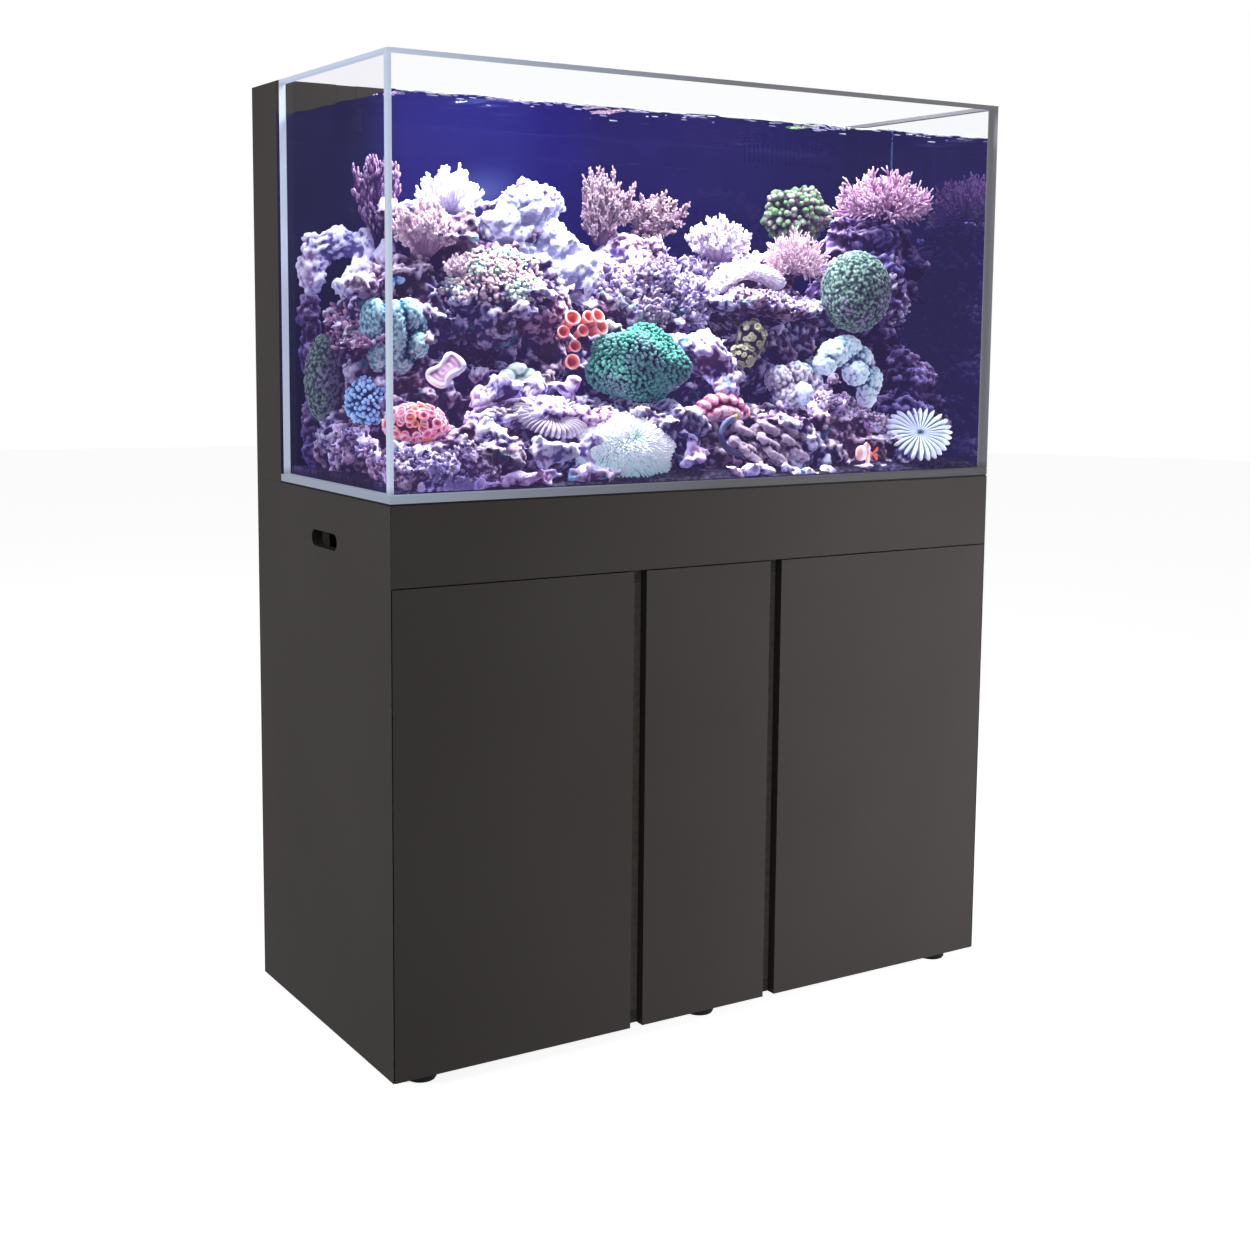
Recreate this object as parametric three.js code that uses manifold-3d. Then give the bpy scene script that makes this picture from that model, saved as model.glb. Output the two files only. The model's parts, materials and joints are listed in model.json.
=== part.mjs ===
// Reef aquarium on its cabinet: an open glass tank with a full-height service shaft behind it, a cabinet
// with two hinged doors, the filter equipment that the cabinet holds, and the rock and coral in the tank.
// Millimetres. +X is the viewer's right, +Y is the back and +Z is up; the origin is on the floor,
// in the middle of the footprint.
import * as THREE from 'three';
import { mergeVertices } from 'three/addons/utils/BufferGeometryUtils.js';
import Module from 'manifold-3d';

const wasm = await Module();
wasm.setup();

// ---------- driving dimensions ----------
const WIDTH = 1200;
const DEPTH = 560;
const FOOT_HEIGHT = 18;
const CABINET_HEIGHT = 900;
const TANK_HEIGHT = 670;
const TANK_DEPTH = 446;
const PANEL = 18;
const GLASS = 12;
const GAP = 0.3;
const FASCIA_HEIGHT = 125;
const DOOR_GAP = 2;
const LEFT_DOOR_WIDTH = 432;
const CENTER_PANEL_WIDTH = 251;
const GRIP_GAP = 24;

// ---------- planes worked out from them ----------
const LEFT = -WIDTH / 2;
const RIGHT = WIDTH / 2;
const FRONT = -DEPTH / 2;
const BACK = DEPTH / 2;
const CAB_BOTTOM = FOOT_HEIGHT;
const CAB_TOP = FOOT_HEIGHT + CABINET_HEIGHT;
const RIM = CAB_TOP + TANK_HEIGHT;
const INNER_LEFT = LEFT + PANEL + GAP;
const INNER_RIGHT = RIGHT - PANEL - GAP;
const CARCASS_FRONT = FRONT + PANEL + GAP;
const CARCASS_BACK = BACK - PANEL - GAP;
const DOOR_TOP = CAB_TOP - FASCIA_HEIGHT - DOOR_GAP;
const RAIL_TOP = CAB_TOP - FASCIA_HEIGHT;
const RAIL_BOTTOM = RAIL_TOP - PANEL;
const FLOOR_TOP = CAB_BOTTOM + PANEL;
const CENTER_LEFT = LEFT + LEFT_DOOR_WIDTH + GRIP_GAP;
const CENTER_RIGHT = CENTER_LEFT + CENTER_PANEL_WIDTH;
const RIGHT_DOOR_LEFT = CENTER_RIGHT + GRIP_GAP;
const FOAM_TOP = CAB_TOP + 3;
const BOTTOM_PANE_TOP = FOAM_TOP + GLASS;
const WALL_BOTTOM = BOTTOM_PANE_TOP + GAP;
const TANK_BACK = FRONT + TANK_DEPTH;
const WATER_LEVEL = RIM - 68;
const SAND_TOP = BOTTOM_PANE_TOP + 14;

// ---------- materials ----------
function paint(color, roughness, metalness = 0, opacity = 1) {
  return new THREE.MeshStandardMaterial({ color, roughness, metalness, opacity, transparent: opacity < 1 });
}
const LACQUER = paint(0x4a4644, 0.45);
const CARCASS_BOARD = paint(0x2c2a29, 0.7);
const CLEAR_GLASS = paint(0xdfeef2, 0.03, 0, 0.3);
const BLACK_PLASTIC = paint(0x151515, 0.5);
const GREY_PLASTIC = paint(0x5a5d60, 0.5);
const STEEL = paint(0xb8babb, 0.3, 1);
const FOAM = paint(0x1c1c1c, 0.95);
const CLEAR_ACRYLIC = paint(0xcfe0e6, 0.08, 0, 0.4);
const RED_PLASTIC = paint(0xb5322a, 0.4);
const SAND = paint(0x3a3440, 0.95);
const ROCK = paint(0x7d6e92, 0.9);
const CORAL_WHITE = paint(0xf1eef0, 0.7);
const CORAL_PINK = paint(0xd79db4, 0.7);
const CORAL_GREEN = paint(0x2f7a63, 0.7);
const CORAL_BLUE = paint(0x6da6b8, 0.7);
const CORAL_ORANGE = paint(0xe0663f, 0.7);
const CORAL_MINT = paint(0xbfe6e2, 0.7);
const CORAL_LILAC = paint(0x9a7f9c, 0.7);

const model = new THREE.Group();

// ---------- solid helpers ----------
function add(name, geometry, material) {
  const mesh = new THREE.Mesh(geometry, material);
  mesh.name = name;
  model.add(mesh);
  return mesh;
}

function boxGeometry([x0, x1], [y0, y1], [z0, z1]) {
  const geometry = new THREE.BoxGeometry(x1 - x0, y1 - y0, z1 - z0);
  return geometry.translate((x0 + x1) / 2, (y0 + y1) / 2, (z0 + z1) / 2);
}

function addBox(name, xs, ys, zs, material) {
  return add(name, boxGeometry(xs, ys, zs), material);
}

function prismGeometry(outline, z0, z1) {
  const shape = new THREE.Shape(outline.map(([x, y]) => new THREE.Vector2(x, y)));
  return new THREE.ExtrudeGeometry(shape, { depth: z1 - z0, bevelEnabled: false }).translate(0, 0, z0);
}

function rodGeometry(radius, [x, y], [z0, z1], sides = 24) {
  const geometry = new THREE.CylinderGeometry(radius, radius, z1 - z0, sides);
  return geometry.rotateX(Math.PI / 2).translate(x, y, (z0 + z1) / 2);
}

function turnedGeometry(profile, [x, y, z], sides = 24) {
  const points = profile.map(([r, h]) => new THREE.Vector2(r, h));
  return new THREE.LatheGeometry(points, sides).rotateX(Math.PI / 2).translate(x, y, z);
}

function solid(geometry) {
  const bare = geometry.clone();
  bare.deleteAttribute('normal');
  bare.deleteAttribute('uv');
  const merged = mergeVertices(bare, 1e-3);
  const vertProperties = new Float32Array(merged.attributes.position.array);
  const triVerts = new Uint32Array(merged.index.array);
  return new wasm.Manifold(new wasm.Mesh({ numProp: 3, vertProperties, triVerts }));
}

function geometryOf(manifold) {
  const mesh = manifold.getMesh();
  const geometry = new THREE.BufferGeometry();
  geometry.setAttribute('position', new THREE.BufferAttribute(new Float32Array(mesh.vertProperties), 3));
  geometry.setIndex(new THREE.BufferAttribute(new Uint32Array(mesh.triVerts), 1));
  geometry.computeVertexNormals();
  return geometry;
}

function cut(geometry, ...cutters) {
  const body = cutters.reduce((rest, cutter) => rest.subtract(solid(cutter)), solid(geometry));
  return geometryOf(body);
}

function join(...geometries) {
  const [first, ...others] = geometries.map(solid);
  return geometryOf(others.reduce((whole, piece) => whole.add(piece), first));
}

// ---------- cabinet ----------
const PORT_LENGTH = 105;
const PORT_HEIGHT = 27;
const PORT_CENTER_Y = FRONT + 258;
const PORT_CENTER_Z = CAB_BOTTOM + 822;
const BACK_NOTCH = 90;
const PIPE_NOTCH_WIDTH = 150;
const RETURN_X = -480;
const DRAIN_X = 420;
const POST_FACE = 64;
const POST_DEPTH = 118;

function portGeometry(side) {
  const half = (PORT_LENGTH - PORT_HEIGHT) / 2;
  const shape = new THREE.Shape();
  shape.absarc(half, 0, PORT_HEIGHT / 2, -Math.PI / 2, Math.PI / 2);
  shape.absarc(-half, 0, PORT_HEIGHT / 2, Math.PI / 2, Math.PI * 1.5);
  const slab = new THREE.ExtrudeGeometry(shape, { depth: PANEL * 3, bevelEnabled: false, curveSegments: 8 });
  slab.rotateX(Math.PI / 2).rotateZ(Math.PI / 2);
  return slab.translate(side * (RIGHT - PANEL / 2) - PANEL * 1.5, PORT_CENTER_Y, PORT_CENTER_Z);
}

// Each side panel meets the fascia and the door in a mitre, so no seam shows on the side face.
function sidePanel(name, side) {
  const outline = [
    [side * RIGHT, FRONT], [side * RIGHT, BACK],
    [side * (RIGHT - PANEL), BACK], [side * (RIGHT - PANEL), FRONT + PANEL],
  ];
  add(name, cut(prismGeometry(outline, CAB_BOTTOM, CAB_TOP), portGeometry(side)), LACQUER);
}

function carcass() {
  const inner = [INNER_LEFT, INNER_RIGHT];
  const between = [CARCASS_FRONT, CARCASS_BACK];
  addBox('cabinet_base', inner, between, [CAB_BOTTOM, FLOOR_TOP], CARCASS_BOARD);
  const notch = (x) => boxGeometry(
    [x - PIPE_NOTCH_WIDTH / 2, x + PIPE_NOTCH_WIDTH / 2], [CARCASS_BACK - BACK_NOTCH, BACK],
    [CAB_TOP - 30, CAB_TOP + 30]);
  const top = boxGeometry(inner, between, [CAB_TOP - PANEL, CAB_TOP]);
  add('cabinet_top', cut(top, notch(RETURN_X), notch(DRAIN_X)), CARCASS_BOARD);
  const back = boxGeometry(inner, [BACK - PANEL, BACK], [CAB_BOTTOM, CAB_TOP - 1]);
  const hatch = boxGeometry([-170, 170], [BACK - 40, BACK + 20], [700, 820]);
  add('cabinet_back', cut(back, hatch), CARCASS_BOARD);
  addBox('front_rail', inner, [CARCASS_FRONT, CARCASS_FRONT + 80], [RAIL_BOTTOM, RAIL_TOP], CARCASS_BOARD);
}

// A post stands behind each grip gap: a wide face strip with a web behind it, and a shadow notch at each end.
function post(name, x) {
  const [z0, z1] = [FLOOR_TOP + GAP, RAIL_BOTTOM - GAP];
  const web = PANEL / 2;
  const outline = [
    [x - POST_FACE / 2, CARCASS_FRONT], [x + POST_FACE / 2, CARCASS_FRONT],
    [x + POST_FACE / 2, CARCASS_FRONT + PANEL], [x + web, CARCASS_FRONT + PANEL],
    [x + web, CARCASS_FRONT + POST_DEPTH], [x - web, CARCASS_FRONT + POST_DEPTH],
    [x - web, CARCASS_FRONT + PANEL], [x - POST_FACE / 2, CARCASS_FRONT + PANEL],
  ];
  const shadow = (z) => boxGeometry([x - 50, x + 50], [CARCASS_FRONT - 5, CARCASS_FRONT + 8], [z - 5, z + 5]);
  add(name, cut(prismGeometry(outline, z0, z1), shadow(z0), shadow(z1)), CARCASS_BOARD);
}

function fascia() {
  const reach = RIGHT - GAP * 2;
  const outline = [
    [-reach, FRONT], [reach, FRONT], [reach - PANEL, FRONT + PANEL], [PANEL - reach, FRONT + PANEL],
  ];
  add('fascia_panel', prismGeometry(outline, RAIL_TOP, CAB_TOP), LACQUER);
}

// side is -1 for the left door; the mitred edge lies along the outer corner, where the door turns.
function door(name, side, freeEdge) {
  const outer = side * (RIGHT - 2);
  const outline = [
    [outer, FRONT], [freeEdge, FRONT], [freeEdge, FRONT + PANEL], [outer - side * PANEL, FRONT + PANEL],
  ];
  add(name, prismGeometry(outline, CAB_BOTTOM, DOOR_TOP), LACQUER);
}

const HINGE_HEIGHTS = { lower: 130, upper: 680 };
const CUP_RADIUS = 17.5;

// The cup flange and arm ride with the door; the mounting plate stays on the side panel.
function hinge(label, side) {
  for (const [level, z] of Object.entries(HINGE_HEIGHTS)) {
    const doorBack = FRONT + PANEL + GAP;
    const cupX = side * (RIGHT - 44);
    const cup = rodGeometry(CUP_RADIUS, [0, 0], [0, 4]).rotateX(-Math.PI / 2).translate(cupX, doorBack, z);
    const near = side * (RIGHT - PANEL - 4);
    const far = side * (RIGHT - 50);
    const arm = boxGeometry([Math.min(near, far), Math.max(near, far)], [doorBack + 2, doorBack + 12], [z - 9, z + 9]);
    const reachX = [near, side * (RIGHT - PANEL - 14)].sort((a, b) => a - b);
    const reach = boxGeometry(reachX, [doorBack + 8, doorBack + 52], [z - 7, z + 7]);
    add(`${label}_hinge_arm_${level}`, join(cup, arm, reach), STEEL);
    const plateX = [side * (RIGHT - PANEL - GAP), side * (RIGHT - PANEL - 3)].sort((a, b) => a - b);
    const plate = boxGeometry(plateX, [doorBack + 14, doorBack + 70], [z - 25, z + 25]);
    const stopX = [side * (RIGHT - PANEL - 1), side * (RIGHT - PANEL - 14)].sort((a, b) => a - b);
    const stop = boxGeometry(stopX, [doorBack + 53, doorBack + 68], [z - 9, z + 9]);
    add(`${label}_hinge_plate_${level}`, join(plate, stop), STEEL);
  }
}

function feet() {
  for (const [row, y] of [['front', FRONT + 42], ['rear', BACK - 50]]) {
    for (const [label, x] of [['left', LEFT + 66], ['middle', 0], ['right', RIGHT - 66]]) {
      const profile = [
        [0, 0], [23, 0], [25, 3], [25, 9], [16, 13], [16, FOOT_HEIGHT - GAP], [0, FOOT_HEIGHT - GAP],
      ];
      add(`foot_${row}_${label}`, turnedGeometry(profile, [x, y, 0], 20), BLACK_PLASTIC);
    }
  }
}

// ---------- tank ----------
const WEIR_LEFT = 330;
const WEIR_RIGHT = 565;
const WEIR_SILL = WATER_LEVEL - 22;
const RETURN_Z = RIM - 38;
const RETURN_NOTCH = 36;

function tankGlass() {
  addBox('foam_mat', [LEFT + 1, RIGHT - 1], [FRONT + 1, TANK_BACK - 1], [CAB_TOP + GAP, FOAM_TOP - GAP], FOAM);
  addBox('tank_bottom', [LEFT, RIGHT], [FRONT, TANK_BACK], [FOAM_TOP, BOTTOM_PANE_TOP], CLEAR_GLASS);
  addBox('tank_front', [LEFT, RIGHT], [FRONT, FRONT + GLASS], [WALL_BOTTOM, RIM], CLEAR_GLASS);
  const sides = [FRONT + GLASS + GAP, TANK_BACK - GLASS - GAP];
  addBox('tank_left', [LEFT, LEFT + GLASS], sides, [WALL_BOTTOM, RIM], CLEAR_GLASS);
  addBox('tank_right', [RIGHT - GLASS, RIGHT], sides, [WALL_BOTTOM, RIM], CLEAR_GLASS);
  const back = boxGeometry([LEFT, RIGHT], [TANK_BACK - GLASS, TANK_BACK], [WALL_BOTTOM, RIM]);
  const notch = boxGeometry([WEIR_LEFT + 10, WEIR_RIGHT - 10], [TANK_BACK - 30, TANK_BACK + 20], [WEIR_SILL, RIM + 20]);
  const returnNotch = boxGeometry(
    [RETURN_X - RETURN_NOTCH / 2, RETURN_X + RETURN_NOTCH / 2], [TANK_BACK - 30, TANK_BACK + 20],
    [RETURN_Z - RETURN_NOTCH / 2, RIM + 20]);
  add('tank_back', cut(back, notch, returnNotch), CLEAR_GLASS);
}

// ---------- service shaft behind the tank ----------
const LID_THICKNESS = 12;
const PIPE_Y = 214;
const DRAIN_RADIUS = 16;
const RETURN_RADIUS = 12.5;

function shaft() {
  const front = TANK_BACK + GAP;
  const bottom = CAB_TOP + GAP;
  addBox('shaft_left_cheek', [LEFT, LEFT + PANEL], [front, BACK], [bottom, RIM], LACQUER);
  addBox('shaft_right_cheek', [RIGHT - PANEL, RIGHT], [front, BACK], [bottom, RIM], LACQUER);
  const lidUnderside = RIM - LID_THICKNESS;
  addBox('shaft_rear_cover', [INNER_LEFT, INNER_RIGHT], [BACK - PANEL, BACK], [bottom, lidUnderside - GAP], LACQUER);
  addBox('shaft_lid', [INNER_LEFT, INNER_RIGHT], [TANK_BACK + 1, BACK], [lidUnderside, RIM], LACQUER);
}

// Water spills over the comb into this tub, and leaves by the drain pipe under it.
function weir() {
  const tubFront = TANK_BACK + GAP;
  const tubBack = BACK - PANEL - 8;
  const outer = boxGeometry([WEIR_LEFT, WEIR_RIGHT], [tubFront, tubBack], [RIM - 330, RIM - 20]);
  const hollow = boxGeometry([WEIR_LEFT + 5, WEIR_RIGHT - 5], [tubFront + 5, tubBack - 5], [RIM - 325, RIM + 10]);
  const mouth = boxGeometry([WEIR_LEFT + 9, WEIR_RIGHT - 9], [tubFront - 5, tubFront + 10], [WEIR_SILL - 2, RIM + 10]);
  const outlet = rodGeometry(DRAIN_RADIUS, [DRAIN_X, PIPE_Y], [RIM - 345, RIM - 300]);
  add('weir_box', cut(outer, hollow, mouth, outlet), BLACK_PLASTIC);
  const combLeft = WEIR_LEFT + 10 + GAP;
  const combRight = WEIR_RIGHT - 10 - GAP;
  const strip = boxGeometry([combLeft, combRight], [TANK_BACK - 9, TANK_BACK - 3], [WEIR_SILL + GAP, WEIR_SILL + 52]);
  const slots = [];
  for (let x = combLeft + 10; x < combRight - 8; x += 11) {
    slots.push(boxGeometry([x, x + 4], [TANK_BACK - 20, TANK_BACK + 5], [WEIR_SILL + 8, WEIR_SILL + 42]));
  }
  add('weir_comb', cut(strip, ...slots), BLACK_PLASTIC);
}

// ---------- equipment in the cabinet and the shaft ----------
const SUMP_LEFT = -330;
const SUMP_RIGHT = 470;
const SUMP_FRONT = -130;
const SUMP_BACK = 210;
const SUMP_FLOOR = FLOOR_TOP + GAP;
const SUMP_TOP = SUMP_FLOOR + 380;

function sump() {
  const outer = boxGeometry([SUMP_LEFT, SUMP_RIGHT], [SUMP_FRONT, SUMP_BACK - 12], [SUMP_FLOOR, SUMP_TOP]);
  const chamber = (x0, x1) => boxGeometry([x0, x1], [SUMP_FRONT + 8, SUMP_BACK - 20], [SUMP_FLOOR + 8, SUMP_TOP + 20]);
  const overPartitions = boxGeometry(
    [SUMP_LEFT + 8, SUMP_RIGHT - 8], [SUMP_FRONT + 8, SUMP_BACK - 20], [SUMP_FLOOR + 240, SUMP_TOP + 20]);
  const tub = cut(outer, chamber(SUMP_LEFT + 8, -124), chamber(-116, 176), chamber(184, SUMP_RIGHT - 8), overPartitions);
  add('sump_tank', tub, CLEAR_ACRYLIC);
}

function returnPump() {
  const floor = SUMP_FLOOR + 8 + GAP;
  const body = boxGeometry([-282, -196], [-60, 60], [floor, floor + 92]);
  const volute = rodGeometry(34, [-239, 82], [floor, floor + 60]);
  const outlet = rodGeometry(15, [-239, 82], [floor + 50, floor + 110]);
  add('return_pump', join(body, volute, outlet), BLACK_PLASTIC);
}

function skimmer() {
  const floor = SUMP_FLOOR + 8 + GAP;
  const center = [30, 10];
  const bodyProfile = [[0, 0], [75, 0], [75, 12], [62, 16], [62, 240], [38, 300], [38, 340], [0, 340]];
  add('skimmer_body', turnedGeometry(bodyProfile, [...center, floor]), CLEAR_ACRYLIC);
  const cupProfile = [
    [0, 434], [48, 434], [52, 426], [52, 318], [40, 312], [40, 304], [52, 304], [58, 310], [58, 436], [50, 442], [0, 442],
  ];
  add('skimmer_cup', turnedGeometry(cupProfile, [...center, floor]), CLEAR_ACRYLIC);
}

function roundPath(points) {
  return new THREE.CatmullRomCurve3(points.map(([x, y, z]) => new THREE.Vector3(x, y, z)), false, 'catmullrom', 0.15);
}

function pipeGeometry(radius, points, steps) {
  const ring = new THREE.Shape().absarc(0, 0, radius, 0, Math.PI * 2);
  return new THREE.ExtrudeGeometry(ring, {
    steps, curveSegments: 5, bevelEnabled: false, extrudePath: roundPath(points),
  });
}

// The drain drops from the weir box into the sump; its valve sits above the sump's rim.
function drainLine() {
  const valveY = 140;
  const pipe = pipeGeometry(DRAIN_RADIUS, [
    [DRAIN_X, PIPE_Y, RIM - 330 - GAP], [DRAIN_X, PIPE_Y, 900], [DRAIN_X, PIPE_Y, 780], [DRAIN_X, PIPE_Y - 20, 720],
    [DRAIN_X, valveY + 14, 670], [DRAIN_X, valveY, 620], [DRAIN_X, valveY, 460], [DRAIN_X, valveY, SUMP_FLOOR + 140],
  ], 28);
  const valve = boxGeometry([DRAIN_X - 24, DRAIN_X + 24], [valveY - 22, valveY + 22], [520, 580]);
  add('drain_pipe', join(pipe, valve), GREY_PLASTIC);
  const lever = boxGeometry([DRAIN_X - 7, DRAIN_X + 7], [valveY - 44, valveY - 36], [540, 630]);
  const stem = rodGeometry(8, [0, 0], [0, 16]).rotateX(Math.PI / 2).translate(DRAIN_X, valveY - 22 - GAP, 550);
  add('drain_valve_handle', join(lever, stem), RED_PLASTIC);
}

// The return rises from the pump, up the shaft and forward through a notch in the back pane.
function returnLine() {
  add('return_pipe', pipeGeometry(RETURN_RADIUS, [
    [-239, 82, SUMP_FLOOR + 120], [-239, 82, 480], [-262, 104, 540], [-340, 170, 620], [-430, 210, 690],
    [RETURN_X, PIPE_Y, 780], [RETURN_X, PIPE_Y, 1100], [RETURN_X, PIPE_Y, RETURN_Z - 60],
    [RETURN_X, PIPE_Y - 4, RETURN_Z - 22], [RETURN_X, PIPE_Y - 22, RETURN_Z - 3], [RETURN_X, PIPE_Y - 40, RETURN_Z],
    [RETURN_X, TANK_BACK - GLASS - 2, RETURN_Z],
  ], 40), GREY_PLASTIC);
  const start = TANK_BACK - GLASS - 3;
  add('return_nozzle', pipeGeometry(11, [
    [RETURN_X, start, RETURN_Z], [RETURN_X, start - 10, RETURN_Z], [RETURN_X, start - 24, RETURN_Z - 6],
    [RETURN_X, start - 32, RETURN_Z - 20], [RETURN_X, start - 34, RETURN_Z - 44],
  ], 16), BLACK_PLASTIC);
}

// ---------- sand, rock and coral ----------
function bed() {
  const inset = 2;
  addBox('sand_bed', [LEFT + GLASS + inset, RIGHT - GLASS - inset],
    [FRONT + GLASS + inset, TANK_BACK - GLASS - inset], [BOTTOM_PANE_TOP + GAP, SAND_TOP], SAND);
}

// A lump is a sphere stretched to its half sizes and roughened by smooth waves.
function lump([x, y, z], [hx, hy, hz], roughness, phase, segments = 12) {
  const geometry = new THREE.SphereGeometry(1, segments, segments / 2 + 2);
  const position = geometry.attributes.position;
  const v = new THREE.Vector3();
  for (let i = 0; i < position.count; i += 1) {
    v.fromBufferAttribute(position, i);
    const wave = Math.sin(v.x * 5 + phase) * Math.cos(v.y * 6 + phase * 2) + 0.6 * Math.sin(v.z * 7 - phase);
    const scale = 1 + roughness * wave;
    position.setXYZ(i, x + v.x * hx * scale, y - v.z * hy * scale, z + v.y * hz * scale);
  }
  return geometry;
}

const seabed = boxGeometry([LEFT, RIGHT], [FRONT, BACK], [0, SAND_TOP + GAP]);
const frontLimit = boxGeometry([LEFT, RIGHT], [FRONT - 100, FRONT + GLASS + 3], [0, RIM]);
const backLimit = boxGeometry([LEFT, RIGHT], [TANK_BACK - GLASS - 3, BACK + 100], [0, RIM]);
const leftLimit = boxGeometry([LEFT - 100, LEFT + GLASS + 3], [FRONT, BACK], [0, RIM]);
const rightLimit = boxGeometry([RIGHT - GLASS - 3, RIGHT + 100], [FRONT, BACK], [0, RIM]);
const limits = [seabed, frontLimit, backLimit, leftLimit, rightLimit];
const placed = [];

function enlarged(geometry, clearance) {
  geometry.computeBoundingBox();
  const center = geometry.boundingBox.getCenter(new THREE.Vector3());
  const size = geometry.boundingBox.getSize(new THREE.Vector3());
  const growth = size.toArray().map((length) => 1 + (2 * clearance) / length);
  const copy = geometry.clone().translate(-center.x, -center.y, -center.z);
  return copy.scale(...growth).translate(center.x, center.y, center.z);
}

// Corals and rocks are set down one after another: each later one is cut back from those before it.
function settle(name, lumps, material) {
  const whole = lumps.map(solid).reduce((sum, piece) => sum.add(piece));
  const room = [...limits, ...placed].reduce((rest, cutter) => rest.subtract(solid(cutter)), whole);
  const largest = room.decompose().sort((a, b) => b.volume() - a.volume())[0];
  add(name, geometryOf(largest), material);
  placed.push(...lumps.map((piece) => enlarged(piece, 0.8)));
}

function corals() {
  settle('carpet_anemone', [lump([-138, -205, 985], [84, 52, 50], 0.03, 1)], CORAL_MINT);
  settle('ruffled_clam', [lump([147, -205, 985], [88, 50, 46], 0.06, 2)], CORAL_LILAC);
  settle('green_mound', [lump([-77, -140, 1124], [82, 70, 62], 0.04, 4)], CORAL_GREEN);
  settle('green_dome', [lump([369, -170, 1253], [67, 64, 76], 0.02, 5)], CORAL_GREEN);
  settle('brain_coral', [lump([-492, -60, 1169], [58, 60, 66], 0.05, 6)], CORAL_BLUE);
  settle('orange_zoanthids', [lump([-503, -160, 1033], [52, 48, 34], 0.03, 7)], CORAL_ORANGE);
  settle('finger_coral', [lump([-352, 20, 1415], [66, 52, 46], 0.05, 8)], CORAL_WHITE);
  settle('tree_coral', [lump([25, 50, 1402], [104, 50, 72], 0.05, 9)], CORAL_PINK);
  settle('table_acropora', [lump([468, -120, 1430], [100, 80, 52], 0.04, 10)], CORAL_PINK);
}

function rocks() {
  settle('rock_left', [
    lump([-465, 10, 1060], [120, 130, 250], 0.08, 1), lump([-300, 0, 1160], [135, 120, 190], 0.08, 2),
    lump([-330, 20, 1000], [240, 120, 110], 0.06, 3), lump([-380, 20, 1340], [80, 70, 60], 0.05, 5),
    lump([-215, 40, 1340], [72, 60, 84], 0.05, 7),
  ], ROCK);
  settle('rock_right', [
    lump([470, -60, 1180], [100, 100, 220], 0.07, 4), lump([500, -60, 1030], [85, 130, 110], 0.06, 5),
  ], ROCK);
  settle('rock_middle', [
    lump([40, 10, 1110], [230, 120, 200], 0.08, 6), lump([260, 10, 1130], [150, 120, 190], 0.08, 7),
    lump([20, 40, 1280], [100, 70, 70], 0.05, 8),
  ], ROCK);
  settle('rock_front', [
    lump([-430, -170, 968], [150, 78, 52], 0.08, 8), lump([-150, -150, 990], [230, 80, 70], 0.06, 9),
    lump([180, -150, 980], [220, 80, 70], 0.06, 10), lump([420, -170, 960], [130, 70, 50], 0.05, 11),
  ], ROCK);
}

sidePanel('cabinet_left_side', -1);
sidePanel('cabinet_right_side', 1);
carcass();
post('left_post', CENTER_LEFT - GRIP_GAP / 2);
post('right_post', CENTER_RIGHT + GRIP_GAP / 2);
fascia();
addBox('center_panel', [CENTER_LEFT, CENTER_RIGHT], [FRONT, FRONT + PANEL], [CAB_BOTTOM, DOOR_TOP], LACQUER);
door('left_door', -1, LEFT + LEFT_DOOR_WIDTH);
door('right_door', 1, RIGHT_DOOR_LEFT);
hinge('left', -1);
hinge('right', 1);
feet();
tankGlass();
shaft();
weir();
sump();
returnPump();
skimmer();
drainLine();
returnLine();
bed();
corals();
rocks();

export default model;
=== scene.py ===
"""Looks of the reef aquarium on its cabinet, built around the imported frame.

Metres, +Z up, doors towards -Y. A `tip` value on each reef vertex runs from 0 in a crevice to 1 at a tip.
"""
import json
import math
from dataclasses import dataclass

import bmesh
import bpy
import numpy as np
from mathutils import Matrix, Vector


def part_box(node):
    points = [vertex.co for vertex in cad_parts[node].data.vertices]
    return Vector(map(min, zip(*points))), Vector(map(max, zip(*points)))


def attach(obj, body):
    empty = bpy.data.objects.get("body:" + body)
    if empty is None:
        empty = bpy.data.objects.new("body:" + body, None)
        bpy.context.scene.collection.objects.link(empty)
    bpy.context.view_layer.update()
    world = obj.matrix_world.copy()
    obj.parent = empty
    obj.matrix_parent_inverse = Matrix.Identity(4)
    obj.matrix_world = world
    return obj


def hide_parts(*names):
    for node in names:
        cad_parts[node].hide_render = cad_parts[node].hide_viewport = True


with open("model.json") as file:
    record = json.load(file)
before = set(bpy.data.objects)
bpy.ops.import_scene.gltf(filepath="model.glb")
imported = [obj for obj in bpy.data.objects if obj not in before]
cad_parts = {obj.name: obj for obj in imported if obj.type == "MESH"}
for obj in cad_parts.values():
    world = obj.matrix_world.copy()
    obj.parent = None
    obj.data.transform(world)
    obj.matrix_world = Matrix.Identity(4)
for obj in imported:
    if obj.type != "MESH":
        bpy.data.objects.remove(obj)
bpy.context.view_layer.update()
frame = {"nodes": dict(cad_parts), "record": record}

ROOT = "cabinet_and_tank"
MM = 0.001

STAGE_SIZE = 14.0
CAMERA_PLACE = (-1.687, -2.684, 1.193)
CAMERA_TURN = (31.96, 6.53, 0.51)
CAMERA_LENS = 50.8
CAMERA_SHIFT = -0.08

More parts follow.
